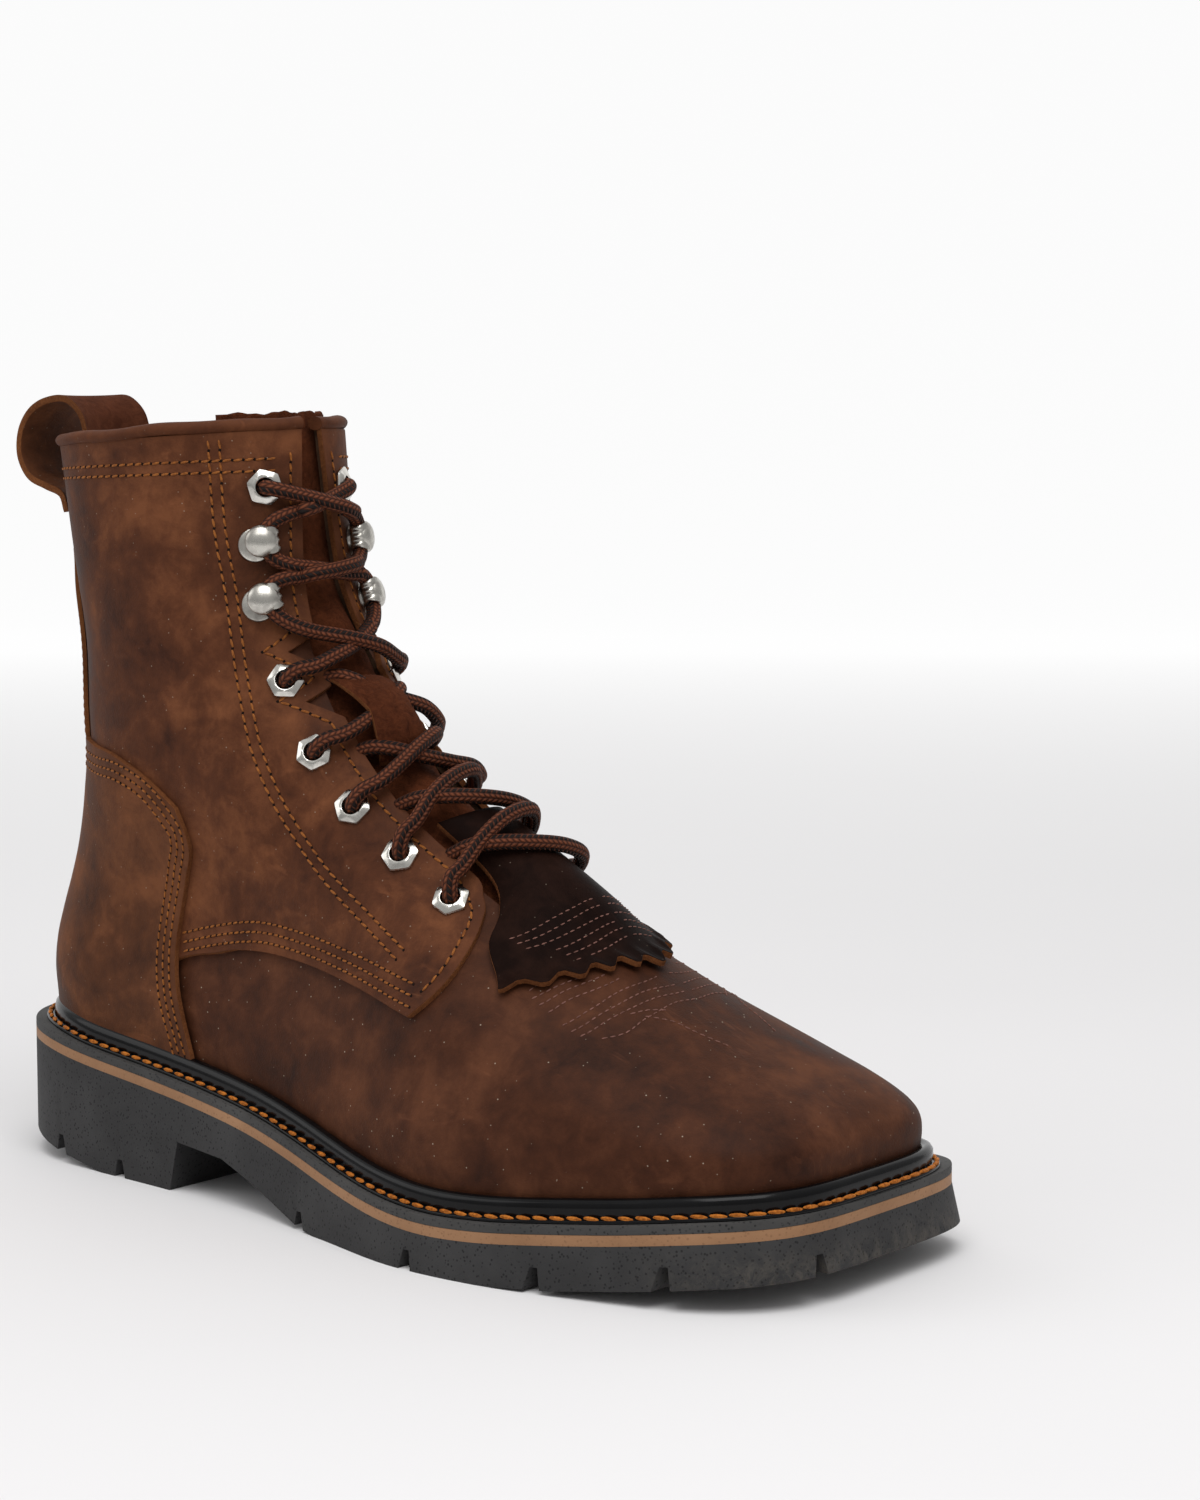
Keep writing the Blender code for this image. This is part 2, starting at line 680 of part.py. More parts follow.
def hook(name, frame):
    """Bent sheet metal: a round foot, a neck on the side of the throat and a round cap over the foot."""
    side = frame[4]
    path = [  # away from the throat, height, half width
        (4.8, 0.0, 1.6),
        (3.6, 0.0, 3.6),
        (0.6, 0.0, 5.0),
        (-2.6, 0.0, 3.9),
        (-4.4, 1.2, 3.3),
        (-5.0, 2.7, 3.1),
        (-4.2, 4.4, 3.4),
        (-2.2, 5.2, 4.4),
        (0.6, 5.3, 5.0),
        (3.4, 4.9, 3.8),
        (4.6, 4.5, 1.6),
    ]
    path = np.array(path) * [1, HOOK_RISE / 5.4, HOOK_WIDTH / 5.0]
    run = np.gradient(path[:, :2], axis=0)
    run /= np.linalg.norm(run, axis=1, keepdims=True)
    across = np.linspace(-1, 1, 4)
    faces = []
    for depth in (0.0, HOOK_THICK):
        away = path[:, 0] + depth * run[:, 1]
        height = path[:, 1] - depth * run[:, 0]
        local = np.stack(np.broadcast_arrays(
            side * away[:, None], across[None, :] * path[:, 2:], height[:, None]), -1)
        faces.append(on_seat(frame, local))
    return thicken(name, *faces)


def cord(name, path, collection):
    """Round cord along a path of points."""
    curve = bpy.data.curves.new(name, "CURVE")
    curve.dimensions = "3D"
    curve.bevel_depth = LACE / 2 * MM
    curve.bevel_resolution = 1
    curve.use_fill_caps = True
    spline = curve.splines.new("POLY")
    points = placed(path)
    spline.points.add(len(points) - 1)
    for point, place in zip(spline.points, points):
        point.co = (*place, 1.0)
    holder = bpy.data.objects.new(name, curve)
    collection.objects.link(holder)
    mesh = bpy.data.meshes.new_from_object(holder)
    bpy.data.objects.remove(holder, do_unlink=True)
    bm = bmesh.new()
    bm.from_mesh(mesh)
    return finish_mesh(bm, name)


def strand(lower, upper, side):
    """Centre line of one strand: from the lower hole of one side, over the throat, to the other edge."""
    steps = 7
    levels = np.linspace(front_seat(lower, side)[1], front_seat(upper, -side)[1], steps)
    hooked = lower.kind == "hook"
    hole = getattr(lower, SIDE_NAME[side])
    start = hole - 9.0 if hooked else hole
    end = float(throat_half(levels[-1], -side)) - LACE / 2 - 1.2
    turns = throat_turn(levels, side * np.linspace(start, -end, steps))
    over = 0.6 if side < 0 else 0.0
    heights = [5.4 if hooked else 7.2, 6.8, 6.0 + over, 5.4]
    rise = np.interp(np.linspace(0, 1, steps), [0, 0.25, 0.5, 1], heights)
    beside = np.linspace(start, -end, steps) / 17.0
    bulge = np.interp(levels, [6.5, 7.2, 8.7, 9.4], [5.0, 6.4, 5.0, 0.0])
    rise = rise + bulge * np.clip(1 - beside**2, 0, 1)
    return last_point(turns, levels) + rise[:, None] * last_normal(turns, levels)


def main():
    for obj in list(bpy.data.objects):
        bpy.data.objects.remove(obj, do_unlink=True)
    boot = bpy.data.collections.new("kiltie_boot")
    tools = bpy.data.collections.new("cutters")
    for collection in (boot, tools):
        bpy.context.scene.collection.children.link(collection)

    leather = material("oiled_brown_leather", (0.075, 0.036, 0.02), 0.6)
    black = material("black_welt_rubber", (0.01, 0.01, 0.011), 0.3)
    grey = material("dark_grey_rubber", (0.035, 0.035, 0.036), 0.75)
    tan = material("tan_rubber", (0.38, 0.22, 0.12), 0.6)
    dark_leather = material("dark_kiltie_leather", (0.02, 0.009, 0.006), 0.45)
    suede = material("red_brown_suede", (0.09, 0.03, 0.015), 0.95)
    lining = material("insole_lining", (0.12, 0.08, 0.05), 0.9)
    nickel = material("polished_nickel", (0.72, 0.7, 0.66), 0.22, 1.0)
    braid = material("brown_braid", (0.06, 0.028, 0.016), 0.8)
    antique = material("antique_nickel", (0.5, 0.48, 0.45), 0.35, 1.0)

    def top(along):
        return along_curve(OUTSOLE_TOP, "top", along)

    outsole(boot, tools, grey)
    stripe_low, stripe_high = GAP, GAP + STRIPE
    stripe = sole_layer("midsole_stripe", lambda a: top(a) + stripe_low, lambda a: top(a) + stripe_high, 3)
    add("midsole_stripe", stripe, tan, boot)
    dark_low, dark_high = stripe_high + GAP, stripe_high + GAP + MIDSOLE
    dark = sole_layer("midsole", lambda a: top(a) + dark_low, lambda a: top(a) + dark_high, 3)
    add("midsole", dark, grey, boot)

    turns = np.linspace(-1, 1, COLUMNS + 1)
    add("welt", welt(turns[:-1]), black, boot)

    edges = []
    for side in (-1, 1):
        open_half = throat_half(LEVELS, side, 1.5)
        edges.append(np.where(open_half > 0, side * throat_turn(LEVELS, side * open_half), 1.0))
    around = turns[None, :] * np.where(turns[None, :] < 0, edges[0][:, None], edges[1][:, None])
    upward = np.broadcast_to(LEVELS[:, None], around.shape)
    add("upper", skin("upper", around, upward, -WALL, 0.0), leather, boot)
    add("insole", insole("insole"), lining, boot)
    add("tongue", tongue("tongue"), suede, boot)

    notch_rows = [n.level + k * NOTCH_OPEN for n in NOTCHES for k in (-1, 0, 1)]
    plain_rows = [5.35, 5.7, 6.05, 6.4, 6.75, 7.05, 7.35, 7.7, 8.2, 8.6, 9, 9.5, 10, 12, 12.5, RIM]
    rows = sorted(plain_rows + notch_rows)
    for name, side in (("quarter_lateral", -1), ("quarter_medial", 1)):
        add(name, quarter(name, side, rows, 15), leather, boot)
    add("heel_counter", heel_counter("heel_counter", 12, 23), leather, boot)
    add("backstay", backstay("backstay"), leather, boot)
    add("collar_binding", collar_binding("collar_binding"), leather, boot)
    add("kiltie", kiltie("kiltie", 6, 21), dark_leather, boot)
    add("lace_keeper", lace_keeper("lace_keeper"), suede, boot)
    add("pull_loop", pull_loop("pull_loop"), leather, boot)

    for side, word in SIDE_NAME.items():
        for number, hole in enumerate(HOLES, 1):
            name = f"{hole.kind}_{word}_{number}"
            frame = seat_frame(hole, side)
            make = eyelet if hole.kind == "eyelet" else hook
            add(name, make(name, frame), nickel if hole.kind == "eyelet" else antique, boot)

    for number, (upper, lower) in enumerate(zip(HOLES, HOLES[1:]), 1):
        name = f"lace_crossing_{number}"
        crossing = add(name, cord(name, strand(lower, upper, -1), boot), braid, boot)
        other = cord(f"{name}_other_strand", strand(lower, upper, 1), tools)
        cut(crossing, cutter(other, tools), "UNION")


main()
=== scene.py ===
import math

import bmesh
import bpy
import numpy as np
from mathutils import Matrix, Vector
from mathutils.kdtree import KDTree


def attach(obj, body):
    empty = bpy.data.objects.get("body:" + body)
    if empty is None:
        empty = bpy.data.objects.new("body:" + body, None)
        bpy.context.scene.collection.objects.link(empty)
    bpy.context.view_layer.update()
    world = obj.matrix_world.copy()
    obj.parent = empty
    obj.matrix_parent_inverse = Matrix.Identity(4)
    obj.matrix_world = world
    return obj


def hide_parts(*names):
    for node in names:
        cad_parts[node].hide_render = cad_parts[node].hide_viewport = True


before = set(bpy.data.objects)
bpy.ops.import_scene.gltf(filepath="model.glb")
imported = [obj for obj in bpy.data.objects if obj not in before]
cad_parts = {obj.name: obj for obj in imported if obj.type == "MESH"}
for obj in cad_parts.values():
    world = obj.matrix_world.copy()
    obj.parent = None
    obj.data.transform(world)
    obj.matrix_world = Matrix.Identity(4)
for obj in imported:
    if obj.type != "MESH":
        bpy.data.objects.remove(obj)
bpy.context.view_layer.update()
mm = 0.001
sides = {-1: "lateral", 1: "medial"}
print("frame loaded:", len(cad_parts), "nodes")

# Surface of the last, in millimetres from the back of the sole; same values as the solids
last = {
    "backX": -154.3,
    "middleY": 1.2,
    "length": 314.0,
    "stack": 5.9,  # stripe and midsole between outsole and upper
    "weltReach": 9.0,
    "anklePower": 2.1,
    "rim": 12.93,  # level of the upper's top edge
    "outline": [  # along, lateral half, medial half, centre line
        (0, 35.5, 36.0, 0.0), (44, 37.5, 37.0, 0.0), (90, 41.0, 36.0, 0.0), (125, 45.5, 36.0, 0.3),
        (160, 54.0, 40.5, 1.0), (200, 64.0, 48.5, 2.2), (232, 64.5, 53.0, 3.5), (262, 60.5, 54.2, 5.2),
        (290, 55.5, 53.0, 6.6), (314, 49.0, 51.0, 7.6)],
    "soleTop": [
        (0, 37.3), (25, 35.9), (50, 32.6), (75, 30.0), (98, 27.4), (125, 23.5), (147, 19.4), (170, 14.4),
        (190, 11.6), (208, 10.4), (225, 10.9), (245, 12.7), (265, 14.8), (290, 17.9), (314, 19.6)],
    "sections": [  # back, back height, front, front height, lean, oval, half, tip, flat, heel, sag
        (9.5, 0, 306.5, 0, 1.00, 0.00, 34.0, 34, 4.6, 38, 1.00),
        (9.2, 51.0, 308.0, 34.0, 1.03, 0.00, 34.0, 34, 4.6, 38, 0.95),
        (8.8, 59.8, 307.0, 41.5, 1.04, 0.00, 34.0, 38, 4.0, 38, 0.80),
        (9.6, 68.6, 300.0, 49.0, 1.00, 0.00, 34.0, 54, 3.4, 39, 0.55),
        (11.6, 77.6, 285.0, 57.5, 0.93, 0.00, 34.0, 70, 2.9, 41, 0.30),
        (14.4, 87.0, 264.0, 67.5, 0.87, 0.05, 34.0, 88, 2.5, 43, 0.12),
        (17.7, 97.0, 239.0, 79.5, 0.83, 0.18, 34.0, 100, 2.1, 45, 0.00),
        (21.0, 107.0, 213.0, 93.0, 0.83, 0.38, 34.0, 105, 2.0, 47, 0.00),
        (24.0, 117.0, 190.0, 106.5, 0.84, 0.62, 34.0, 95, 2.0, 48, 0.00),
        (26.5, 128.0, 168.0, 120.5, 0.86, 0.85, 34.0, 80, 2.0, 49, 0.00),
        (26.0, 142.0, 148.5, 136.5, 0.90, 1.00, 33.5, 64, 2.0, 50, 0.00),
        (24.3, 161.0, 130.5, 157.0, 1.00, 1.00, 33.0, 54, 2.0, 50, 0.00),
        (21.0, 187.0, 117.5, 185.0, 1.00, 1.00, 33.0, 49, 2.0, 48, 0.00),
        (15.0, 226.0, 111.5, 233.0, 1.00, 1.00, 34.0, 48, 2.0, 48, 0.00)],
    "creases": [  # from turn, level to turn, level; width and depth
        (-0.62, 3.6, -0.80, 4.9, 9.0, 0.7),
        (-0.55, 2.6, -0.72, 3.9, 11.0, 0.6),
        (-0.46, 6.2, -0.56, 7.4, 8.0, 0.6),
        (-0.36, 8.6, -0.52, 9.6, 9.0, 0.7),
        (-0.30, 10.2, -0.50, 10.8, 10.0, 0.6),
        (-0.22, 11.2, -0.46, 12.0, 16.0, 0.8),
        (0.62, 3.6, 0.80, 4.9, 9.0, 0.7),
        (0.52, 2.4, 0.70, 3.8, 11.0, 0.6),
        (0.46, 6.2, 0.58, 7.5, 8.0, 0.6),
        (0.34, 8.6, 0.52, 9.7, 9.0, 0.8),
        (0.28, 10.3, 0.50, 10.9, 10.0, 0.7),
        (0.20, 11.4, 0.46, 12.1, 16.0, 0.8)],
}
outlineTable = np.array(last["outline"], float)
soleTopTable = np.array(last["soleTop"], float)
sectionTable = np.array(last["sections"], float)
sectionKnots = np.arange(len(sectionTable), dtype=float)
collarLevel = sectionKnots[-1]


def hermite(knots, values, at):
    knots, values = np.asarray(knots, float), np.asarray(values, float)
    slopes = np.gradient(values, knots, axis=0)
    at = np.clip(at, knots[0], knots[-1])
    i = np.clip(np.searchsorted(knots, at, side="right") - 1, 0, len(knots) - 2)
    step = knots[i + 1] - knots[i]
    f = (at - knots[i]) / step
    if values.ndim > 1:
        step, f = step[..., None], f[..., None]
    rise = values[i + 1] - values[i]
    bow = step * slopes[i] * f * (1 - f) ** 2 - step * slopes[i + 1] * f * f * (1 - f)
    return values[i] + rise * f * f * (3 - 2 * f) + bow


def rounded(distance, length, power, flat):
    part = np.clip(1 - distance / length, 0, 1)
    return (1 - part ** power) ** (1 / flat)


def soleTop(along, above=0.0):
    return hermite(soleTopTable[:, 0], soleTopTable[:, 1], along) + above


def feather(along):  # where upper and sole meet
    return soleTop(along, last["stack"])


def breadth(along, side):
    row = hermite(outlineTable[:, 0], outlineTable[:, 1:3], along)
    return np.where(side < 0, row[..., 0], row[..., 1])


def centreLine(along):
    return hermite(outlineTable[:, 0], outlineTable[:, 3], along)


for end in (0, 2):  # the lowest section lies on the sole
    sectionTable[0, end + 1] = feather(sectionTable[0, end])


def barePoint(turn, level):  # turn -1 front, over the lateral side, 0 back, over the medial side, 1 front
    turn, level = np.broadcast_arrays(np.asarray(turn, float), np.asarray(level, float))
    row = hermite(sectionKnots, sectionTable, level)
    back, backZ, front, frontZ, lean, oval, half, tip, flat, heel, sag = (row[..., i] for i in range(11))
    first = sectionTable[0]
    angle = math.pi * turn
    side = np.where(np.sin(angle) < 0, -1, 1)
    part = (1 - np.cos(angle)) / 2
    along = back + part * (front - back)
    wide = (breadth(along, side) - last["weltReach"]) * lean * (1 - oval) + half * oval
    wide = wide * rounded(along - back, heel, last["anklePower"], last["anklePower"])
    tip = tip * np.where(side > 0, 0.75 + 0.25 * oval, 1.0)
    wide = wide * rounded(front - along, tip, 2.0 + (flat - 2) * 0.15, flat)
    across = centreLine(along) * (1 - oval) + side * wide
    straight = first[1] + (along - first[0]) / (first[2] - first[0]) * (first[3] - first[1])
    height = backZ + part * (frontZ - backZ) + sag * (feather(along) - straight)
    return np.stack([along, across, height], -1)


def unit(vectors):
    return vectors / np.maximum(np.linalg.norm(vectors, axis=-1, keepdims=True), 1e-12)


def runLength(points):  # length from the first point to each of the others
    return np.concatenate([[0], np.cumsum(np.linalg.norm(np.diff(points, axis=0), axis=1))])


def finePath(rows, count):  # smooth path through rows whose first two columns are a place
    rows = np.array(rows, float)
    length = runLength(rows[:, :2])
    return hermite(length, rows, np.linspace(0, length[-1], count))


def smoothStep(share):
    return share * share * (3 - 2 * share)


def acrossStep(turn, level, step):
    return barePoint(turn + step, level) - barePoint(turn - step, level)


def upStep(turn, level, step):
    above, below = np.minimum(level + step, collarLevel), np.maximum(level - step, 0)
    return barePoint(turn, above) - barePoint(turn, below)


def bareNormal(turn, level, step=2e-3):
    return unit(np.cross(upStep(turn, level, step), acrossStep(turn, level, step)))


def levelNormal(turn, level):  # outward, with no rise
    outward = bareNormal(turn, level)
    outward[..., 2] = 0
    return unit(outward)


def waves(at, rows):
    return sum(depth * np.sin(at * pace + start) for depth, pace, start in rows)


creaseEnds = [
    (barePoint(row[0], row[1]), barePoint(row[2], row[3]), row[4], row[5]) for row in last["creases"]]


def softForm(points):  # listed troughs, along the normal
    moved = np.zeros(points.shape[:-1])
    for start, end, width, depth in creaseEnds:
        run = end - start
        share = np.clip(((points - start) @ run) / (run @ run), 0, 1)
        distance = np.linalg.norm(points - start - share[..., None] * run, axis=-1)
        moved -= depth * np.exp(-(distance / width) ** 2)
    return moved


def lastPoint(turn, level, out=0.0):
    turn, level = np.broadcast_arrays(np.asarray(turn, float), np.asarray(level, float))
    base = barePoint(turn, level)
    return base + (out + softForm(base))[..., None] * bareNormal(turn, level)


def throatTurn(level, across, lowest=0.45, halvings=22):  # turn this far across from the throat's centre
    level, across = np.broadcast_arrays(np.asarray(level, float), np.asarray(across, float))
    side = np.where(across < 0, -1.0, 1.0)
    middleY = barePoint(np.ones(level.shape), level)[..., 1]
    low, high = np.full(level.shape, lowest), np.ones(level.shape)
    for _ in range(halvings):
        middle = (low + high) / 2
        wide = side * (barePoint(side * middle, level)[..., 1] - middleY) > np.abs(across)
        low, high = np.where(wide, middle, low), np.where(wide, high, middle)
    return side * high


def toMetres(points):
    moved = np.array(points, float)
    moved[..., 0] += last["backX"]
    moved[..., 1] += last["middleY"]
    return moved * mm


# Edges of the leather pieces
leather = {
    "wall": 2.2,
    "quarterOut": 1.9,
    "throat": [(6.6, 0.0, 0.0), (7.0, 17.0, 17.0), (8.0, 16.7, 16.7), (9.0, 16.0, 16.0), (10.0, 14.6, 14.2),
               (11.0, 12.0, 9.0), (12.0, 9.6, 3.2), (13.0, 6.0, 0.2)],  # level, lateral and medial half
    "notches": [(10.62, 19.5, 17.5), (11.25, 18.5, 14.0)],
    "notchOpen": 0.22,  # half height of a notch, in levels
    "insetOpen": 0.028,  # a row set in from the edge makes its notches taller and deeper
    "insetDepth": 1.3,
    "throatFoot": 7.0,  # below this level the eyestay turns into the tab
    "tabBlend": (7.2, 0.5),  # from this level, over so many
    "tab": [(4.54, 0.617), (5.32, 0.675), (6.19, 0.741), (6.7, 0.785), (7.0, 0.812), (7.7, 0.847)],
    "quarterFoot": [(0.0, 0.85), (0.42, 0.85), (0.53, 3.5), (0.63, 4.3), (0.69, 4.69), (0.775, 4.85),
                    (0.877, 4.78), (1.0, 4.54)],
    "counterFront": [(0.8, 0.352), (1.9, 0.346), (3.0, 0.3395), (4.1, 0.341), (5.2, 0.355), (6.3, 0.382),
                     (7.2, 0.413), (8.4, 0.426)],
    "counterTop": [(0.0, 9.4), (0.6, 9.4), (0.8, 9.25), (0.92, 8.85), (1.0, 8.3)],
}


def curve(rows, at):  # smooth curve through rows of a place and its value
    rows = np.array(rows, float)
    return hermite(rows[:, 0], rows[:, 1], at)


def throatHalf(level, side, wider=0.0):
    rows = np.array(leather["throat"], float)
    half = np.interp(level, rows[:, 0], rows[:, 1 if side < 0 else 2])
    return np.where(half > 0, half + wider, 0.0)


def eyestayHalf(level, side, inset=0.0):  # half width of the throat at the eyestay's edge, notches included
    half = throatHalf(np.maximum(level, leather["throatFoot"]), side) + inset
    opening = leather["notchOpen"] + inset * leather["insetOpen"]
    for row in leather["notches"]:
        depth = np.clip(1 - np.abs(level - row[0]) / opening, 0, 1)
        half = half + depth * (row[1 if side < 0 else 2] + inset * leather["insetDepth"] - half)
    return half


def notchRows(steps):  # levels at and beside each notch
    return [row[0] + step * leather["notchOpen"] for row in leather["notches"] for step in steps]


frontLevels = np.unique(np.concatenate([np.linspace(4.4, collarLevel, 350), notchRows((0, -1, 1))]))
frontTurns = {}
for side in sides:
    stayLevels = np.maximum(frontLevels, leather["throatFoot"])
    stay = side * throatTurn(stayLevels, side * eyestayHalf(frontLevels, side))
    tab = curve(leather["tab"], frontLevels)
    blend = smoothStep(np.clip((frontLevels - leather["tabBlend"][0]) / leather["tabBlend"][1], 0, 1))
    frontTurns[side] = tab + (stay - tab) * blend


def quarterFront(level, side):
    return np.interp(level, frontLevels, frontTurns[side])


# Building blocks
meshJoin = 0.02  # points nearer than this are one, in millimetres
smallJoin = 0.01  # the same on small metal pieces


def mergePoints(bm, near=meshJoin):
    bmesh.ops.remove_doubles(bm, verts=bm.verts, dist=near * mm)


def fillEnds(bm):
    bmesh.ops.holes_fill(bm, edges=[edge for edge in bm.edges if edge.is_boundary], sides=0)


def faceOutward(bm):
    bmesh.ops.recalc_face_normals(bm, faces=bm.faces)


def linkObject(name, data):
    made = bpy.data.objects.new(name, data)
    bpy.context.scene.collection.objects.link(made)
    return made


def meshObject(name, bm):
    mesh = bpy.data.meshes.new(name)
    bm.to_mesh(mesh)
    bm.free()
    return linkObject(name, mesh)


def gridMesh(points):  # grid laid on points of shape (rows, columns, 3)
    rows, columns = points.shape[:2]
    bm = bmesh.new()
    bmesh.ops.create_grid(bm, x_segments=columns - 1, y_segments=rows - 1, size=1)
    spot = bm.verts.layers.int.new("spot")
    bm.verts.ensure_lookup_table()
    for number, place in enumerate(toMetres(points).reshape(-1, 3)):
        bm.verts[number].co = place
        bm.verts[number][spot] = number
    return bm


def shellMesh(outer, inner, rimFinish=1, innerFinish=0, bevel=0.35):
    bm = gridMesh(outer)
    mergePoints(bm)
    spot = bm.verts.layers.int["spot"]
    made = bmesh.ops.extrude_face_region(bm, geom=list(bm.faces))["geom"]
    places = toMetres(inner).reshape(-1, 3)
    lowered = {item for item in made if isinstance(item, bmesh.types.BMVert)}
    for vertex in lowered:
        vertex.co = places[vertex[spot]]
    faceOutward(bm)
    for face in bm.faces:
        below = sum(vertex in lowered for vertex in face.verts)
        if below == len(face.verts):
            face.material_index = innerFinish
        elif below:
            face.material_index = rimFinish
    lip = []
    for edge in bm.edges:
        kinds = {face.material_index for face in edge.link_faces}
        if len(kinds) == 2 and rimFinish in kinds and not any(v in lowered for v in edge.verts):
            lip.append(edge)
    if bevel and lip:
        bmesh.ops.bevel(bm, geom=lip, offset=bevel * mm, offset_type="OFFSET", segments=2, profile=0.5,
                        affect="EDGES", material=-1)
    return bm


def tubeMesh(path, radius, corners):  # round cord along a path, with lengthwise UVs
    run = unit(np.gradient(path, axis=0))
    across = np.zeros_like(path)
    across[0] = unit(np.cross(run[0], [0.3, 0.2, 1.0]))
    for i in range(1, len(path)):
        across[i] = unit(across[i - 1] - (across[i - 1] @ run[i]) * run[i])
    other = np.cross(run, across)
    length = runLength(path)
    angle = np.linspace(0, 2 * math.pi, corners + 1)[None, :, None]
    ring = (across[:, None] * np.cos(angle) + other[:, None] * np.sin(angle)) * radius
    bm = gridMesh(path[:, None] + ring)
    spot = bm.verts.layers.int["spot"]
    chart = bm.loops.layers.uv.new("UVMap")
    for face in bm.faces:
        for loop in face.loops:
            row, column = divmod(loop.vert[spot], corners + 1)
            loop[chart].uv = (length[row], column / corners)
    mergePoints(bm)
    fillEnds(bm)
    faceOutward(bm)
    return bm


def joinMesh(target, source):
    held = bpy.data.meshes.new("held")
    source.to_mesh(held)
    source.free()
    target.from_mesh(held)
    bpy.data.meshes.remove(held)


def addPiece(name, bm, finishNames, slotName, nodes=(), sharp=38, fade=None):
    piece = meshObject(name, bm)
    mesh = piece.data
    for finish in finishNames:
        mesh.materials.append(finishes[finish])
    mesh.shade_smooth()
    mesh.set_sharp_from_angle(angle=math.radians(sharp))
    if fade:
        markEdges(mesh, fade)
    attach(piece, "root")
    if nodes:
        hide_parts(*nodes)
    print(name, len(mesh.polygons), "faces")
    return piece


def markEdges(mesh, width):  # how near a point lies to a cut edge, for the finish
    places = np.zeros(len(mesh.vertices) * 3, np.float32)
    mesh.vertices.foreach_get("co", places)
    places = places.reshape(-1, 3)
    rim = sorted({v for face in mesh.polygons if face.material_index == 1 for v in face.vertices})
    tree = KDTree(len(rim))
    for v in rim:
        tree.insert(places[v], v)
    tree.balance()
    near = np.array([tree.find(place)[2] for place in places]) / (width * mm)
    fade = mesh.attributes.new("nearEdge", "FLOAT", "POINT")
    fade.data.foreach_set("value", np.exp(-near ** 2).astype(np.float32))


# Finishes


def giveValue(tree, socket, value):  # another node's output, a number or a colour of three parts
    if isinstance(value, bpy.types.NodeSocket):
        tree.links.new(value, socket)
    elif socket.type == "RGBA":
        socket.default_value = (*value, 1.0)
    else:
        socket.default_value = value


def addNode(tree, kind, values=None, **settings):
    node = tree.nodes.new(kind)
    for name, value in settings.items():
        setattr(node, name, value)
    for name, value in (values or {}).items():
        giveValue(tree, node.inputs[name], value)
    return node


def mixColour(tree, factor, first, second):
    node = addNode(tree, "ShaderNodeMix", {0: factor}, data_type="RGBA")
    giveValue(tree, node.inputs[6], first)  # the colour sockets have the same names as others
    giveValue(tree, node.inputs[7], second)
    return node.outputs[2]


def mathNode(tree, operation, first, second=None):
    node = addNode(tree, "ShaderNodeMath", {0: first}, operation=operation)
    if second is not None:
        giveValue(tree, node.inputs[1], second)
    return node.outputs[0]


def times(tree, first, second):
    return mathNode(tree, "MULTIPLY", first, second)


def plus(tree, first, second):
    return mathNode(tree, "ADD", first, second)


def minus(tree, first, second):
    return mathNode(tree, "SUBTRACT", first, second)


def spread(tree, value, low, high, outLow=0.0, outHigh=1.0):
    node = addNode(tree, "ShaderNodeMapRange", {"Value": value, "From Min": low, "From Max": high,
                                                "To Min": outLow, "To Max": outHigh}, clamp=True)
    return node.outputs["Result"]


def noise(tree, vector, scale, detail=3.0, rough=0.5, warp=0.0):
    node = addNode(tree, "ShaderNodeTexNoise", {"Vector": vector, "Scale": scale, "Detail": detail,
                                                "Roughness": rough, "Distortion": warp})
    return node.outputs["Fac"]


def cells(tree, vector, scale, feature="F1", output="Distance"):
    node = addNode(tree, "ShaderNodeTexVoronoi", {"Vector": vector, "Scale": scale}, feature=feature)
    return node.outputs[output]


def newGroup(name, inputs, outputs):
    group = bpy.data.node_groups.new(name, "ShaderNodeTree")
    for socketName, kind, value in inputs:
        socket = group.interface.new_socket(name=socketName, in_out="INPUT", socket_type=kind)
        if value is not None:
            socket.default_value = value
    for socketName, kind in outputs:
        group.interface.new_socket(name=socketName, in_out="OUTPUT", socket_type=kind)
    entry = group.nodes.new("NodeGroupInput")
    leave = group.nodes.new("NodeGroupOutput")
    return group, entry.outputs, leave.inputs


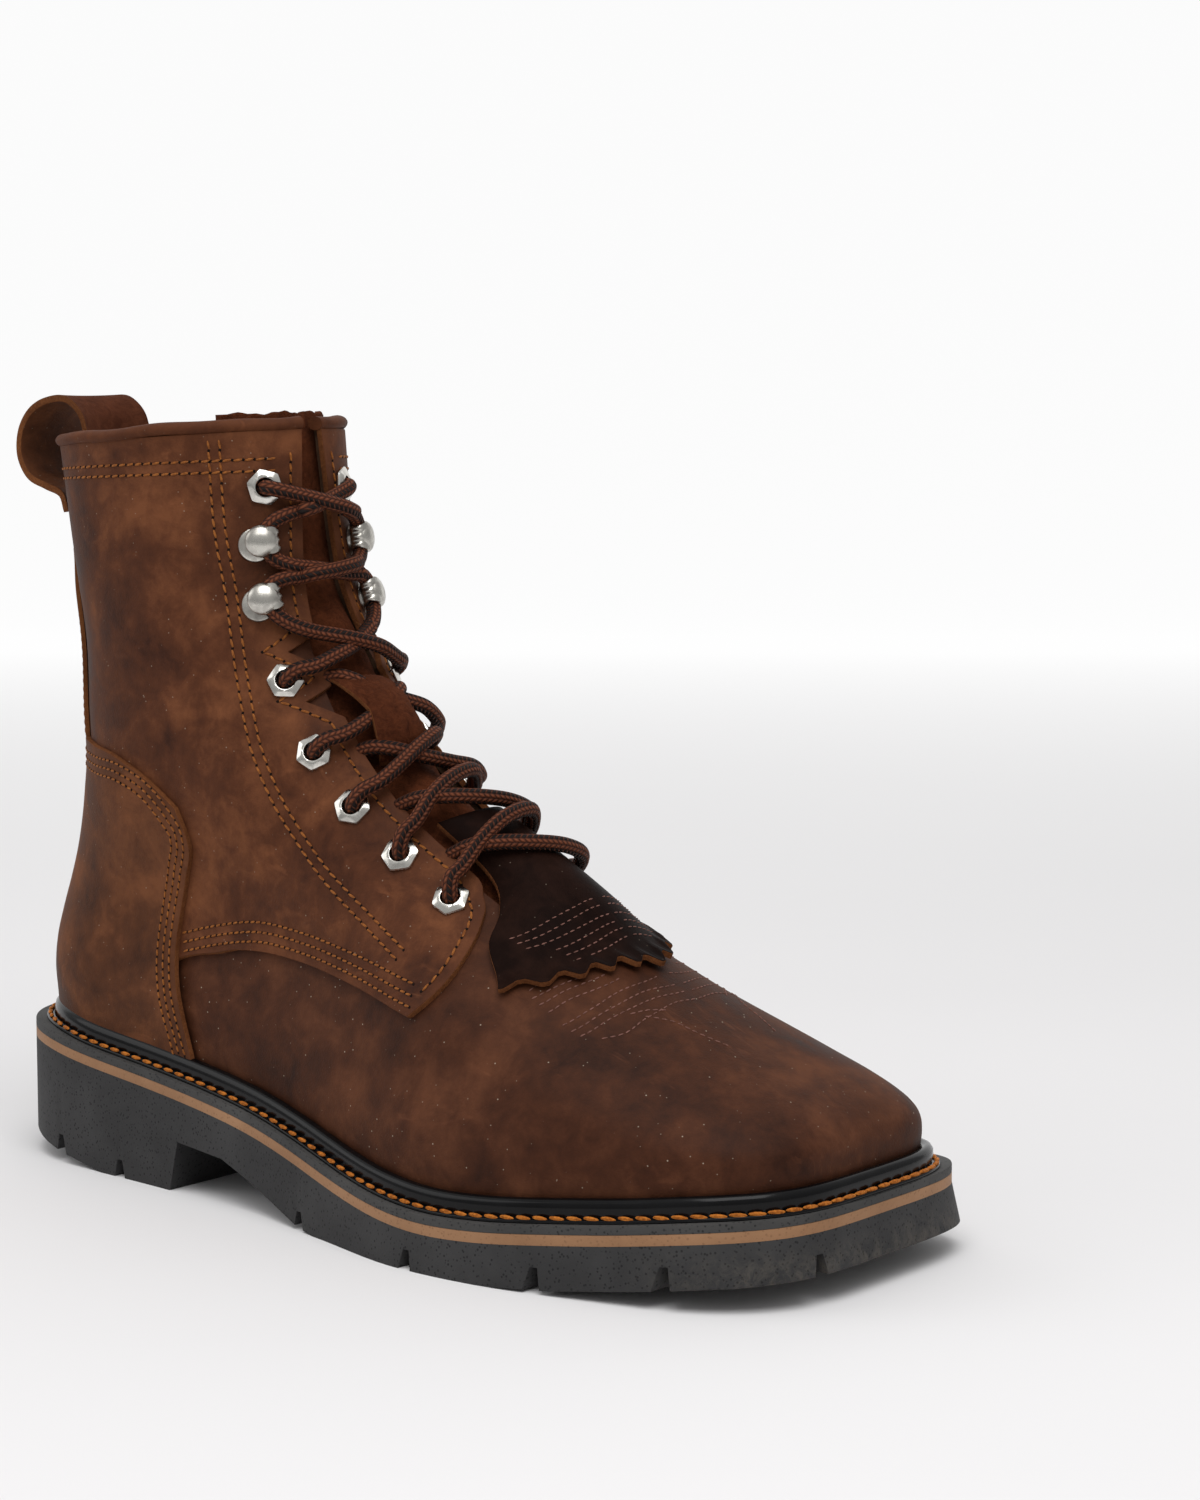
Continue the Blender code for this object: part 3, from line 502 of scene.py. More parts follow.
def hideGroup():  # pull-up hide: clouds, rubbed streaks, pores and dust
    group, given, made = newGroup(
        "pullUpHide",
        [("Vector", "NodeSocketVector", None), ("Cloud Scale", "NodeSocketFloat", 26.0),
         ("Pore Scale", "NodeSocketFloat", 1400.0), ("Dust", "NodeSocketFloat", 0.5)],
        [("Clouds", "NodeSocketFloat"), ("Streaks", "NodeSocketFloat"), ("Dust", "NodeSocketFloat"),
         ("Height", "NodeSocketFloat")])
    broad = noise(group, given["Vector"], given["Cloud Scale"], 3.0, 0.55, 0.8)
    patch = noise(group, given["Vector"], 95.0, 4.0, 0.6, 0.5)
    mottle = plus(group, times(group, broad, 0.52), times(group, patch, 0.34))
    fine = noise(group, given["Vector"], 330.0, 4.0, 0.65, 0.3)
    mottle = plus(group, mottle, times(group, fine, 0.14))
    group.links.new(spread(group, mottle, 0.36, 0.64), made["Clouds"])
    stretch = addNode(group, "ShaderNodeMapping", {"Vector": given["Vector"], "Rotation": (0.5, 0.4, 0.9),
                                                   "Scale": (40.0, 320.0, 140.0)}).outputs["Vector"]
    rub = noise(group, stretch, 1.0, 2.0, 0.5, 1.2)
    gate = spread(group, noise(group, given["Vector"], 55.0, 2.0), 0.52, 0.66)
    group.links.new(times(group, spread(group, rub, 0.60, 0.78), gate), made["Streaks"])
    fleck = spread(group, cells(group, given["Vector"], 480.0), 0.13, 0.06)
    kept = spread(group, noise(group, given["Vector"], 410.0, 1.0), 0.55, 0.62)
    group.links.new(times(group, times(group, fleck, kept), given["Dust"]), made["Dust"])
    pores = cells(group, given["Vector"], given["Pore Scale"])
    fibre = noise(group, given["Vector"], 3200.0, 3.0, 0.6)
    wrinkle = noise(group, given["Vector"], 420.0, 3.0, 0.55, 0.4)
    height = plus(group, times(group, pores, 0.35), times(group, fibre, 0.4))
    group.links.new(plus(group, height, times(group, wrinkle, 0.5)), made["Height"])
    return group


def napGroup():  # suede and raw leather: fibres lying in tufts
    group, given, made = newGroup(
        "rawNap", [("Vector", "NodeSocketVector", None), ("Tuft Scale", "NodeSocketFloat", 420.0)],
        [("Tone", "NodeSocketFloat"), ("Height", "NodeSocketFloat")])
    tuft = noise(group, given["Vector"], given["Tuft Scale"], 4.0, 0.65, 1.0)
    hair = noise(group, given["Vector"], 2600.0, 3.0, 0.7, 0.6)
    broad = noise(group, given["Vector"], 70.0, 3.0, 0.5)
    mixed = plus(group, times(group, tuft, 0.55), times(group, broad, 0.45))
    group.links.new(spread(group, mixed, 0.32, 0.70), made["Tone"])
    group.links.new(plus(group, tuft, times(group, hair, 0.8)), made["Height"])
    return group


def rubberGroup():  # moulded rubber: dark specks, mould haze and dust
    group, given, made = newGroup(
        "mouldedRubber", [("Vector", "NodeSocketVector", None), ("Speck Scale", "NodeSocketFloat", 820.0)],
        [("Specks", "NodeSocketFloat"), ("Haze", "NodeSocketFloat"), ("Height", "NodeSocketFloat")])
    dots = spread(group, cells(group, given["Vector"], given["Speck Scale"]), 0.34, 0.20)
    kept = spread(group, noise(group, given["Vector"], 700.0, 2.0), 0.38, 0.46)
    group.links.new(times(group, dots, kept), made["Specks"])
    haze = noise(group, given["Vector"], 38.0, 4.0, 0.6, 0.4)
    group.links.new(spread(group, haze, 0.36, 0.68), made["Haze"])
    fine = noise(group, given["Vector"], 1500.0, 3.0, 0.6)
    group.links.new(minus(group, fine, times(group, dots, 0.5)), made["Height"])
    return group


groups = {"hide": hideGroup(), "nap": napGroup(), "rubber": rubberGroup()}


def newFinish(name, roughness, shine=0.5, **constants):
    finish = bpy.data.materials.new(name)
    finish.use_nodes = True
    tree = finish.node_tree
    shader = tree.nodes["Principled BSDF"]
    shader.inputs["Roughness"].default_value = roughness
    shader.inputs["Specular IOR Level"].default_value = shine
    for socket, value in constants.items():
        giveValue(tree, shader.inputs[socket.replace("_", " ")], value)
    place = tree.nodes.new("ShaderNodeTexCoord").outputs["Object"]
    return finish, tree, shader, place


def placeGroup(tree, kind, values):
    return addNode(tree, "ShaderNodeGroup", values, node_tree=groups[kind]).outputs


def bump(tree, shader, height, strength, distance):
    node = addNode(tree, "ShaderNodeBump", {"Height": height, "Strength": strength, "Distance": distance})
    tree.links.new(node.outputs["Normal"], shader.inputs["Normal"])


def hideFinish(name, dark, base, light, dust=0.5, roughLow=0.52, roughHigh=0.72, depth=0.35, edgeTone=None,
               shine=0.10):
    finish, tree, shader, place = newFinish(name, 0.6, shine)
    hide = placeGroup(tree, "hide", {"Vector": place, "Dust": dust})
    ramp = addNode(tree, "ShaderNodeValToRGB", {"Fac": hide["Clouds"]})
    ramp.color_ramp.elements[0].color = (*dark, 1)
    ramp.color_ramp.elements[1].color = (*light, 1)
    ramp.color_ramp.elements.new(0.5).color = (*base, 1)
    colour = mixColour(tree, times(tree, hide["Streaks"], 0.35), ramp.outputs["Color"],
                       tuple(min(1.0, c * 1.9) for c in light))
    if edgeTone:
        near = addNode(tree, "ShaderNodeAttribute", attribute_name="nearEdge").outputs["Fac"]
        colour = mixColour(tree, times(tree, near, 0.35), colour, edgeTone)
    colour = mixColour(tree, hide["Dust"], colour, (0.42, 0.34, 0.26))
    tree.links.new(colour, shader.inputs["Base Color"])
    tree.links.new(spread(tree, hide["Clouds"], 0.0, 1.0, roughLow, roughHigh), shader.inputs["Roughness"])
    bump(tree, shader, hide["Height"], depth, 0.0004)
    return finish


def napFinish(name, dark, light, tuftScale=420.0, depth=0.7, sheen=0.25):
    finish, tree, shader, place = newFinish(
        name, 0.95, 0.08, Sheen_Weight=sheen, Sheen_Roughness=0.5, Sheen_Tint=light)
    nap = placeGroup(tree, "nap", {"Vector": place, "Tuft Scale": tuftScale})
    tree.links.new(mixColour(tree, nap["Tone"], dark, light), shader.inputs["Base Color"])
    bump(tree, shader, nap["Height"], depth, 0.0006)
    return finish


def threadFinish(name, dark, light, roughness=0.6):
    finish, tree, shader, place = newFinish(name, roughness, 0.12)
    twist = noise(tree, place, 900.0, 3.0, 0.6, 0.6)
    tree.links.new(mixColour(tree, spread(tree, twist, 0.35, 0.65), dark, light), shader.inputs["Base Color"])
    bump(tree, shader, noise(tree, place, 2600.0, 2.0), 0.5, 0.0002)
    return finish


finishes = {
    "quarter": hideFinish("oiledHide", (0.034, 0.0101, 0.0044), (0.085, 0.0272, 0.0110),
                          (0.168, 0.0590, 0.0238), edgeTone=(0.10, 0.032, 0.012)),
    "vamp": hideFinish("vampHide", (0.026, 0.0084, 0.0040), (0.061, 0.0202, 0.0091),
                       (0.112, 0.0402, 0.0186), dust=0.9),
    "counter": hideFinish("counterHide", (0.040, 0.0131, 0.0053), (0.089, 0.0308, 0.0123),
                          (0.164, 0.0588, 0.0238), edgeTone=(0.095, 0.033, 0.013)),
    "binding": hideFinish("bindingHide", (0.038, 0.0112, 0.0049), (0.077, 0.0240, 0.0097),
                          (0.12, 0.0405, 0.0166), dust=0.2),
    "kiltie": hideFinish("smoothDarkHide", (0.0045, 0.0020, 0.0015), (0.0085, 0.0036, 0.0026),
                         (0.019, 0.0080, 0.0055), dust=0.25, roughLow=0.42, roughHigh=0.56, depth=0.22,
                         shine=0.02),
    "rawEdge": napFinish("rawCutEdge", (0.09, 0.030, 0.011), (0.22, 0.080, 0.028), 900.0, 0.8, 0.1),
    "suede": napFinish("redBrownSuede", (0.030, 0.0075, 0.0030), (0.135, 0.038, 0.0145), 360.0, 1.0, 0.3),
    "flesh": napFinish("fleshSide", (0.052, 0.0155, 0.0075), (0.125, 0.040, 0.019), 300.0, 0.6, 0.15),
    "lining": napFinish("shaftLining", (0.05, 0.026, 0.015), (0.10, 0.055, 0.032), 520.0, 0.3, 0.1),
    "thread": threadFinish("goldBrownThread", (0.17, 0.052, 0.011), (0.33, 0.115, 0.024)),
    "weltThread": threadFinish("orangeWeltThread", (0.26, 0.072, 0.009), (0.56, 0.185, 0.026), 0.6),
    "toeThread": threadFinish("dustyPinkThread", (0.11, 0.050, 0.038), (0.24, 0.115, 0.092)),
    # near-black finish for needle holes and eyelet holes: painted shade in the holes
    "needleHoleShade": threadFinish("needleHoleShade", (0.006, 0.003, 0.002), (0.010, 0.005, 0.003), 0.9),
}


def soleFinish(name, base, haze, speck, roughness, toeDust=0.0):
    finish, tree, shader, place = newFinish(name, roughness, 0.3)
    rubber = placeGroup(tree, "rubber", {"Vector": place})
    colour = mixColour(tree, rubber["Haze"], base, haze)
    colour = mixColour(tree, times(tree, rubber["Specks"], 0.95), colour, speck)
    if toeDust:  # pale scuffing low on the toe
        axes = addNode(tree, "ShaderNodeSeparateXYZ", {"Vector": place}).outputs
        forward = spread(tree, axes["X"], 0.118, 0.150)
        low = spread(tree, axes["Z"], 0.0175, 0.0105)
        broken = spread(tree, noise(tree, place, 240.0, 5.0, 0.75, 0.6), 0.42, 0.62)
        mask = times(tree, times(tree, forward, low), broken)
        colour = mixColour(tree, times(tree, mask, toeDust), colour, (0.26, 0.22, 0.17))
    tree.links.new(colour, shader.inputs["Base Color"])
    bump(tree, shader, rubber["Height"], 0.3, 0.0003)
    return finish


finishes["outsole"] = soleFinish("speckledRubber", (0.027, 0.0262, 0.0268), (0.041, 0.040, 0.0405),
                                 (0.007, 0.007, 0.0075), 0.72, 0.16)
finishes["midsole"] = soleFinish("greyMidsole", (0.040, 0.039, 0.038), (0.058, 0.056, 0.054),
                                 (0.014, 0.014, 0.014), 0.7)
finishes["stripe"] = soleFinish("tanStripe", (0.27, 0.138, 0.066), (0.34, 0.182, 0.092),
                                (0.24, 0.122, 0.058), 0.6)
finishes["insole"] = napFinish("insoleFelt", (0.10, 0.065, 0.04), (0.16, 0.11, 0.07), 600.0, 0.4, 0.0)


def weltFinish():
    finish, tree, shader, place = newFinish("glossyWelt", 0.25, 0.15, Coat_Weight=0.08, Coat_Roughness=0.1)
    rubber = placeGroup(tree, "rubber", {"Vector": place})
    tree.links.new(mixColour(tree, rubber["Haze"], (0.002, 0.002, 0.0024), (0.004, 0.004, 0.0045)),
                   shader.inputs["Base Color"])
    tree.links.new(spread(tree, rubber["Haze"], 0.0, 1.0, 0.14, 0.24), shader.inputs["Roughness"])
    bump(tree, shader, rubber["Height"], 0.05, 0.0002)
    return finish


def metalFinish(name, bright, dull, roughLow, roughHigh):
    finish, tree, shader, place = newFinish(name, roughLow, Metallic=1.0)
    tarnish = spread(tree, noise(tree, place, 260.0, 4.0, 0.6, 0.5), 0.38, 0.70)
    tree.links.new(mixColour(tree, tarnish, bright, dull), shader.inputs["Base Color"])
    tree.links.new(spread(tree, tarnish, 0.0, 1.0, roughLow, roughHigh), shader.inputs["Roughness"])
    bump(tree, shader, noise(tree, place, 1800.0, 2.0), 0.06, 0.0002)
    return finish


def braidFinish():  # bands of slanted ticks round the cord, every third one dark
    finish, tree, shader, _ = newFinish("roundBraid", 0.7, 0.15)
    chart = addNode(tree, "ShaderNodeUVMap", uv_map="UVMap").outputs["UV"]
    axes = addNode(tree, "ShaderNodeSeparateXYZ", {"Vector": chart}).outputs
    roundCord = times(tree, axes["Y"], 10.0)  # ten bands round the cord
    band = mathNode(tree, "FLOOR", roundCord)
    inBand = minus(tree, roundCord, band)
    odd = mathNode(tree, "MODULO", band, 2.0)
    lean = minus(tree, times(tree, odd, 2.0), 1.0)
    slant = times(tree, times(tree, inBand, lean), 0.55)
    tick = mathNode(tree, "FRACT", plus(tree, times(tree, axes["X"], 0.62), slant))
    hump = mathNode(tree, "SINE", times(tree, tick, math.pi))
    crown = mathNode(tree, "SINE", times(tree, inBand, math.pi))
    height = times(tree, hump, crown)
    third = mathNode(tree, "LESS_THAN", mathNode(tree, "MODULO", band, 3.0), 0.5)
    darkTick = times(tree, third, mathNode(tree, "GREATER_THAN", tick, 0.30))
    # colour follows the braid's height, near black in the grooves between ticks and bands: painted shade; the
    # dark tick in every third band is the cord's own tracer colour
    brownWithShade = mixColour(tree, height, (0.030, 0.0085, 0.0045), (0.185, 0.055, 0.024))
    colour = mixColour(tree, darkTick, brownWithShade, (0.010, 0.006, 0.005))
    tree.links.new(colour, shader.inputs["Base Color"])
    bump(tree, shader, height, 0.9, 0.0005)
    return finish


finishes["welt"] = weltFinish()
finishes["nickel"] = metalFinish("polishedNickel", (0.74, 0.72, 0.67), (0.50, 0.48, 0.44), 0.12, 0.26)
finishes["antique"] = metalFinish("antiqueNickel", (0.58, 0.56, 0.51), (0.34, 0.32, 0.29), 0.26, 0.42)
finishes["braid"] = braidFinish()
print("finishes:", len(finishes))

# Upper: vamp and shaft in one hollow shell
upperShape = {
    "columns": 169,
    "rows": [  # from level, to level and how many; closer where the throat starts
        (0, 1, 5), (1, 6.6, 58), (6.6, 7.2, 10), (7.2, 10, 34), (10, last["rim"], 36)],
    "throatCut": 1.5,
}


def rowLevels(spans, extra=()):
    return np.unique(np.concatenate([np.linspace(*span) for span in spans] + [np.array(extra, float)]))


def makeUpper():
    levels = rowLevels(upperShape["rows"])
    turns = np.linspace(-1, 1, upperShape["columns"])
    ends = {}
    for side in sides:
        half = throatHalf(levels, side, upperShape["throatCut"])
        ends[side] = np.where(half > 0, side * throatTurn(levels, side * half), 1.0)
    around = turns[None, :] * np.where(turns[None, :] < 0, ends[-1][:, None], ends[1][:, None])
    upward = np.broadcast_to(levels[:, None], around.shape)
    bm = shellMesh(lastPoint(around, upward), lastPoint(around, upward, -leather["wall"]), 2, 2, 0)
    addPiece("vampAndShaft", bm, ("vamp", "rawEdge", "lining"), "oiled_leather", ["upper"])


makeUpper()

# Quarters: eyestay, notches and the tab over the vamp
quarterShape = {
    "columns": [(0.004, 1, 120)],
    "frontColumns": [0.998, 0.994],  # closer at the eyestay's edge
    "lowRows": 40,
    "lowTop": 5.0,
    "rows": [(5.05, 10, 64), (10, last["rim"], 62)],
    "innerGap": 0.06,
}


def quarterGrid(side):
    share = rowLevels(quarterShape["columns"], quarterShape["frontColumns"])[None, :]
    straight, foot = leather["quarterFoot"][1], curve(leather["quarterFoot"], share)
    foot = np.where(share < straight[0], straight[1], foot)
    low = foot + np.linspace(0, 1, quarterShape["lowRows"])[:, None] * (quarterShape["lowTop"] - foot)
    rows = np.unique(np.round(rowLevels(quarterShape["rows"], notchRows((-1, -0.5, 0, 0.5, 1))), 4))
    high = np.broadcast_to(rows[:, None], (len(rows), share.shape[1]))
    level = np.concatenate([low, high])
    return side * share * quarterFront(level, side), level


def makeQuarter(name, side):
    turn, level = quarterGrid(side)
    outer = lastPoint(turn, level, leather["quarterOut"])
    inner = lastPoint(turn, level, quarterShape["innerGap"])
    addPiece(name, shellMesh(outer, inner), ("quarter", "rawEdge"), "oiled_leather",
             ["quarter_" + sides[side]], fade=2.2)


makeQuarter("quarterOuter", -1)
makeQuarter("quarterInner", 1)

# Heel counter, backstay and collar
counterShape = {
    "rows": 90,
    "columns": 121,
    "thick": 1.6,
    "lowest": 0.55,
    "gap": 0.1,
    "sinks": (4.5, 3.5, 0.5),  # from this level down, over so many, by this share of the quarter
}


def counterLift(level):  # lies on the quarter, and nearer to the vamp where the quarter ends
    start, over, share = counterShape["sinks"]
    low = smoothStep(np.clip((start - level) / over, 0, 1))
    return counterShape["gap"] + leather["quarterOut"] * (1 - share * low)


def makeCounter():
    share = np.linspace(-1, 1, counterShape["columns"])[None, :]
    top = curve(leather["counterTop"], np.abs(share))
    low = counterShape["lowest"]
    level = low + np.linspace(0, 1, counterShape["rows"])[:, None] * (top - low)
    turn = share * curve(leather["counterFront"], level)
    lift = counterLift(level)
    bm = shellMesh(lastPoint(turn, level, lift + counterShape["thick"]), lastPoint(turn, level, lift))
    addPiece("heelCounter", bm, ("counter", "rawEdge"), "oiled_leather", ["heel_counter"], fade=2.2)


backstayShape = {"from": 9.3, "to": 12.15, "half": 0.17, "low": 2.1, "rise": 0.15, "thick": 1.4,
                 "narrow": (0.25, 0.12)}  # how much narrower at its top, and over what share of its length


def backstayLift(part):  # height of the strip's underside over the last
    return backstayShape["low"] + backstayShape["rise"] * np.sin(part * math.pi)


def backstayHalf(part):  # half width as a turn
    narrow, over = backstayShape["narrow"]
    return backstayShape["half"] * (1 - narrow * np.exp(-((part - 1) / over) ** 2))


def backstayLevel(part):
    return backstayShape["from"] + part * (backstayShape["to"] - backstayShape["from"])


def makeBackstay():
    part = np.linspace(0, 1, 60)[:, None]
    turn = backstayHalf(part) * np.linspace(-1, 1, 31)
    level = np.broadcast_to(backstayLevel(part), turn.shape)
    stand = backstayLift(part)
    outer = lastPoint(turn, level, stand + backstayShape["thick"])
    addPiece("backStay", shellMesh(outer, lastPoint(turn, level, stand)), ("counter", "rawEdge"),
             "oiled_leather", ["backstay"], fade=2.0)


collarShape = {"stations": 150, "round": 20, "wide": 3.0, "tall": 2.1, "drop": -1.6,
               "waves": [(0.25, 17, 0), (0.2, 31, 1)]}  # depth, pace and start of each


def makeCollar():
    ends = [float(throatTurn(collarLevel, side * throatHalf(collarLevel, side))) for side in sides]
    turns = np.linspace(*ends, collarShape["stations"])
    level = np.full(turns.shape, collarLevel)
    foot = lastPoint(turns, level)
    outward = levelNormal(turns, level)
    angle = np.linspace(0, 2 * math.pi, collarShape["round"] + 1)
    wave = waves(turns, collarShape["waves"])
    side = (collarShape["wide"] * np.cos(angle))[None, :, None] * outward[:, None]
    rise = collarShape["drop"] + collarShape["tall"] * np.sin(angle)[None, :] + wave[:, None]
    points = foot[:, None] + side
    points[..., 2] += rise
    bm = gridMesh(points)
    mergePoints(bm)
    fillEnds(bm)
    faceOutward(bm)
    addPiece("collarRoll", bm, ["binding"], "oiled_leather", ["collar_binding"])


makeCounter()
makeBackstay()
makeCollar()

# Tongue with its keeper
tongueShape = {
    "rows": 120,
    "columns": 49,
    "from": 6.0,
    "to": 13.0,
    "half": [(6, 24), (7, 27), (9, 28), (13, 26)],  # by level
    "outer": -4.0,
    "thick": 2.0,
    "ripples": [(0.5, 5.1, 3.0), (0.4, 2.3, 9.0)],  # depth, pace up the tongue and across it
    "swell": 4.6,  # the middle fills the throat
    "swellHalf": 0.42,
    "swellEnds": [(7.5, 1.5), (12.6, 1.0)],  # level where it starts or ends, and over how many
    "top": 2.2,  # ragged end over the collar
    "topFrom": 0.86,
    "ragged": [(0.35, 13, 0), (0.2, 37, 1)],
}


def makeTongue():
    part = np.linspace(0, 1, tongueShape["rows"])[:, None]
    share = np.linspace(-1, 1, tongueShape["columns"])[None, :]
    level = tongueShape["from"] + part * (tongueShape["to"] - tongueShape["from"])
    half = np.interp(level, *np.transpose(tongueShape["half"]))
    level = np.broadcast_to(level, (part.size, share.size))
    turn = throatTurn(level, share * half)
    ripple = sum(depth * np.sin(level * up + share * aside) for depth, up, aside in tongueShape["ripples"])
    (start, rising), (end, falling) = tongueShape["swellEnds"]
    swell = tongueShape["swell"] * np.exp(-(share / tongueShape["swellHalf"]) ** 2)
    swell = swell * np.clip((level - start) / rising, 0, 1) * np.clip((end - level) / falling, 0, 1)
    faces = [lastPoint(turn, level, out + ripple + swell)
             for out in (tongueShape["outer"], tongueShape["outer"] - tongueShape["thick"])]
    ragged = tongueShape["top"] + waves(share, tongueShape["ragged"])
    lift = np.clip((part - tongueShape["topFrom"]) / (1 - tongueShape["topFrom"]), 0, 1) * ragged
    for face in faces:
        face[..., 2] += lift
    addPiece("tongue", shellMesh(faces[0], faces[1], 1, 0, 0.5), ("suede", "suede"), "suede", ["tongue"])


keeperShape = {
    "rows": 40,
    "columns": 17,
    "from": 9.75,
    "to": 10.95,
    "half": 7.0,
    "waist": (0.76, 0.62, 0.45),  # share of the width there, how fast it widens, and where it is
    "aside": -5.0,
    "low": 1.0,
    "arch": 9.6,
    "archPower": 0.55,
    "thick": 1.7,
}


def makeKeeper():
    part = np.linspace(0, 1, keeperShape["rows"])[:, None]
    share = np.linspace(-1, 1, keeperShape["columns"])[None, :]
    level = keeperShape["from"] + part * (keeperShape["to"] - keeperShape["from"])
    level = np.broadcast_to(level, (part.size, share.size))
    waist, widening, place = keeperShape["waist"]
    half = keeperShape["half"] * (waist + widening * np.abs(part - place))
    turn = throatTurn(level, share * half + keeperShape["aside"])
    arch = np.clip(np.sin(part * math.pi), 0, 1) ** keeperShape["archPower"]
    out = keeperShape["low"] + keeperShape["arch"] * arch - share ** 2
    bm = shellMesh(lastPoint(turn, level, out), lastPoint(turn, level, out - keeperShape["thick"]))
    addPiece("laceKeeper", bm, ("suede", "rawEdge"), "suede", ["lace_keeper"])


makeTongue()
makeKeeper()

# Kiltie: pinked flap under the lowest laces
kiltieShape = {
    "rows": 70,
    "columns": 241,
    "top": 8.6,
    "thick": 1.8,
    "lift": 0.5,
    "closer": 1.3,  # rows lie closer towards the lower edge
    "curl": (0.9, 0.12),  # height of the turned-up edge, and over how many levels
    "teeth": 10,
    "pinking": 0.055,
    "toothSteep": 1.6,
    "side": [(5.3, 0.732), (5.6, 0.742), (6.3, 0.768), (6.9, 0.824), (7.4, 0.864), (8.7, 0.876)],
    "rise": [(5.3, 0.0), (5.6, 0.0), (6.3, 1.4), (6.9, 5.0), (7.4, 6.4), (8.7, 4.6)],
    "foot": [  # level of the lower edge, by share of the half width
        (-1.0, 5.44), (-0.8, 5.66), (-0.55, 5.88), (-0.25, 6.02), (0.0, 5.98), (0.25, 6.05), (0.55, 6.12),
        (0.8, 6.2), (1.0, 6.25)],
}


def kiltieAt(share, level):  # turn, and lift of the flap's underside
    turn = np.where(share < 0, -1, 1) * (1 - np.abs(share) * (1 - curve(kiltieShape["side"], level)))
    return turn, kiltieShape["lift"] + curve(kiltieShape["rise"], level) * (1 - share ** 2)


def makeKiltie():
    share = np.linspace(-1, 1, kiltieShape["columns"])
    wave = (share + 1) * kiltieShape["teeth"] / 2
    saw = np.abs((wave % 1.0) - 0.5) * 4 - 1
    tooth = kiltieShape["pinking"] * np.clip(saw * kiltieShape["toothSteep"], -1, 1)
    foot = curve(kiltieShape["foot"], share) - tooth
    part = np.linspace(0, 1, kiltieShape["rows"])[:, None] ** kiltieShape["closer"]
    level = foot + part * (kiltieShape["top"] - foot)
    turn, lift = kiltieAt(share[None, :], level)
    curl, over = kiltieShape["curl"]
    lift = lift + curl * np.exp(-((level - foot) / over) ** 2)
    bm = shellMesh(lastPoint(turn, level, lift + kiltieShape["thick"]), lastPoint(turn, level, lift))
    addPiece("kiltieFlap", bm, ("kiltie", "rawEdge"), "kiltie_leather", ["kiltie"])


makeKiltie()

# Pull loop at the back
loopShape = {
    "path": [  # along, height, and how much it bends round the collar
        (24.6, 206.0, 1.0), (22.4, 220.0, 1.0), (21.2, 228.0, 1.0), (19.6, 233.5, 0.8), (15.0, 237.6, 0.45),
        (7.5, 237.4, 0.15), (0.0, 234.0, 0.0), (-4.8, 227.5, 0.0), (-5.2, 220.0, 0.0), (-1.6, 214.0, 0.15),
        (5.0, 211.0, 0.5), (10.4, 208.6, 0.9), (12.6, 203.0, 1.0)],
    "rows": 110,
    "columns": 27,
    "width": 27.0,
    "thick": 2.2,
    "cup": 0.35,
    "collarCurve": 25.0,
}


def makeLoop():
    fine = finePath(loopShape["path"], loopShape["rows"])
    run = unit(np.gradient(fine[:, :2], axis=0))
    share = np.linspace(-1, 1, loopShape["columns"])
    across = share * loopShape["width"] / 2
    bend = fine[:, 2:] * across ** 2 / (2 * loopShape["collarCurve"])
    cup = loopShape["cup"] * share ** 2
    faces = []
    for out in (loopShape["thick"] / 2, -loopShape["thick"] / 2):
        along = fine[:, :1] - (out - cup) * run[:, 1:2] + bend
        height = fine[:, 1:2] + (out - cup) * run[:, :1]
        faces.append(np.stack(np.broadcast_arrays(along, across[None, :], height), -1))
    addPiece("pullLoop", shellMesh(faces[0], faces[1], 1, 2), ("counter", "rawEdge", "flesh"),
             "oiled_leather", ["pull_loop"], fade=2.0)


makeLoop()
print("leather done")

# Sole: outsole with lugs, tan stripe, midsole, welt
soleShape = {
    "heelRound": 42.0,
    "heelPower": 2.15,
    "toeRound": {-1: 36.0, 1: 22.0},
    "toePower": 2.3,
    "toeFlat": 4.2,
    "stations": (28, 80, 36),  # at the heel, along the middle and at the toe
    "columns": 9,
    "flare": 1.8,
    "flareFrom": (130, 60),
    "gap": 0.3,
    "stripe": 2.8,
    "midsole": 2.2,
    "ground": [  # along, and height of the sole's underside
        (0, 9.2), (12, 7.2), (25, 4.9), (40, 2.4), (54, 0.0), (87, 0.0), (91, 15.5), (112, 13.8), (150, 1.0),
        (158, 0.0), (228, 0.0), (250, 1.4), (270, 3.8), (290, 6.4), (314, 8.4)],
    "grooves": [  # along, across, turn in degrees and length
        (34, 0, 0, 140), (63, 0, 0, 140), (156, 0, -5, 160), (209, 0, -5, 160), (252, 0, -5, 160),
        (289, 0, -5, 160), (314, -21, 78, 44)],
    "grooveDepth": 5.5,
    "grooveMouth": 4.8,
    "grooveRoot": 2.2,
    "grooveBelow": 4.0,  # how far the cutting bar reaches below the sole
    "edge": 0.45,
    "edgeAngle": 40,
}


def soleEdge(along, side):
    heelPower, toeRound = soleShape["heelPower"], soleShape["toeRound"][side]
    half = breadth(along, side) * rounded(along, soleShape["heelRound"], heelPower, heelPower)
    half = half * rounded(last["length"] - along, toeRound, soleShape["toePower"], soleShape["toeFlat"])
    return centreLine(along) + side * half


def soleStations(extra=()):
    heelCount, middleCount, toeCount = soleShape["stations"]
    heelRound, toeRound = soleShape["heelRound"], max(soleShape["toeRound"].values())
    heel = heelRound * (1 - np.cos(np.linspace(0.03, math.pi / 2, heelCount)))
    middle = np.linspace(heelRound, last["length"] - toeRound, middleCount)[1:-1]
    toe = last["length"] - toeRound * (1 - np.cos(np.linspace(math.pi / 2, 0.012, toeCount)))
    stations = np.unique(np.concatenate([heel, middle, toe, np.array(extra, float)]))
    return stations[np.concatenate([[True], np.diff(stations) > meshJoin])]


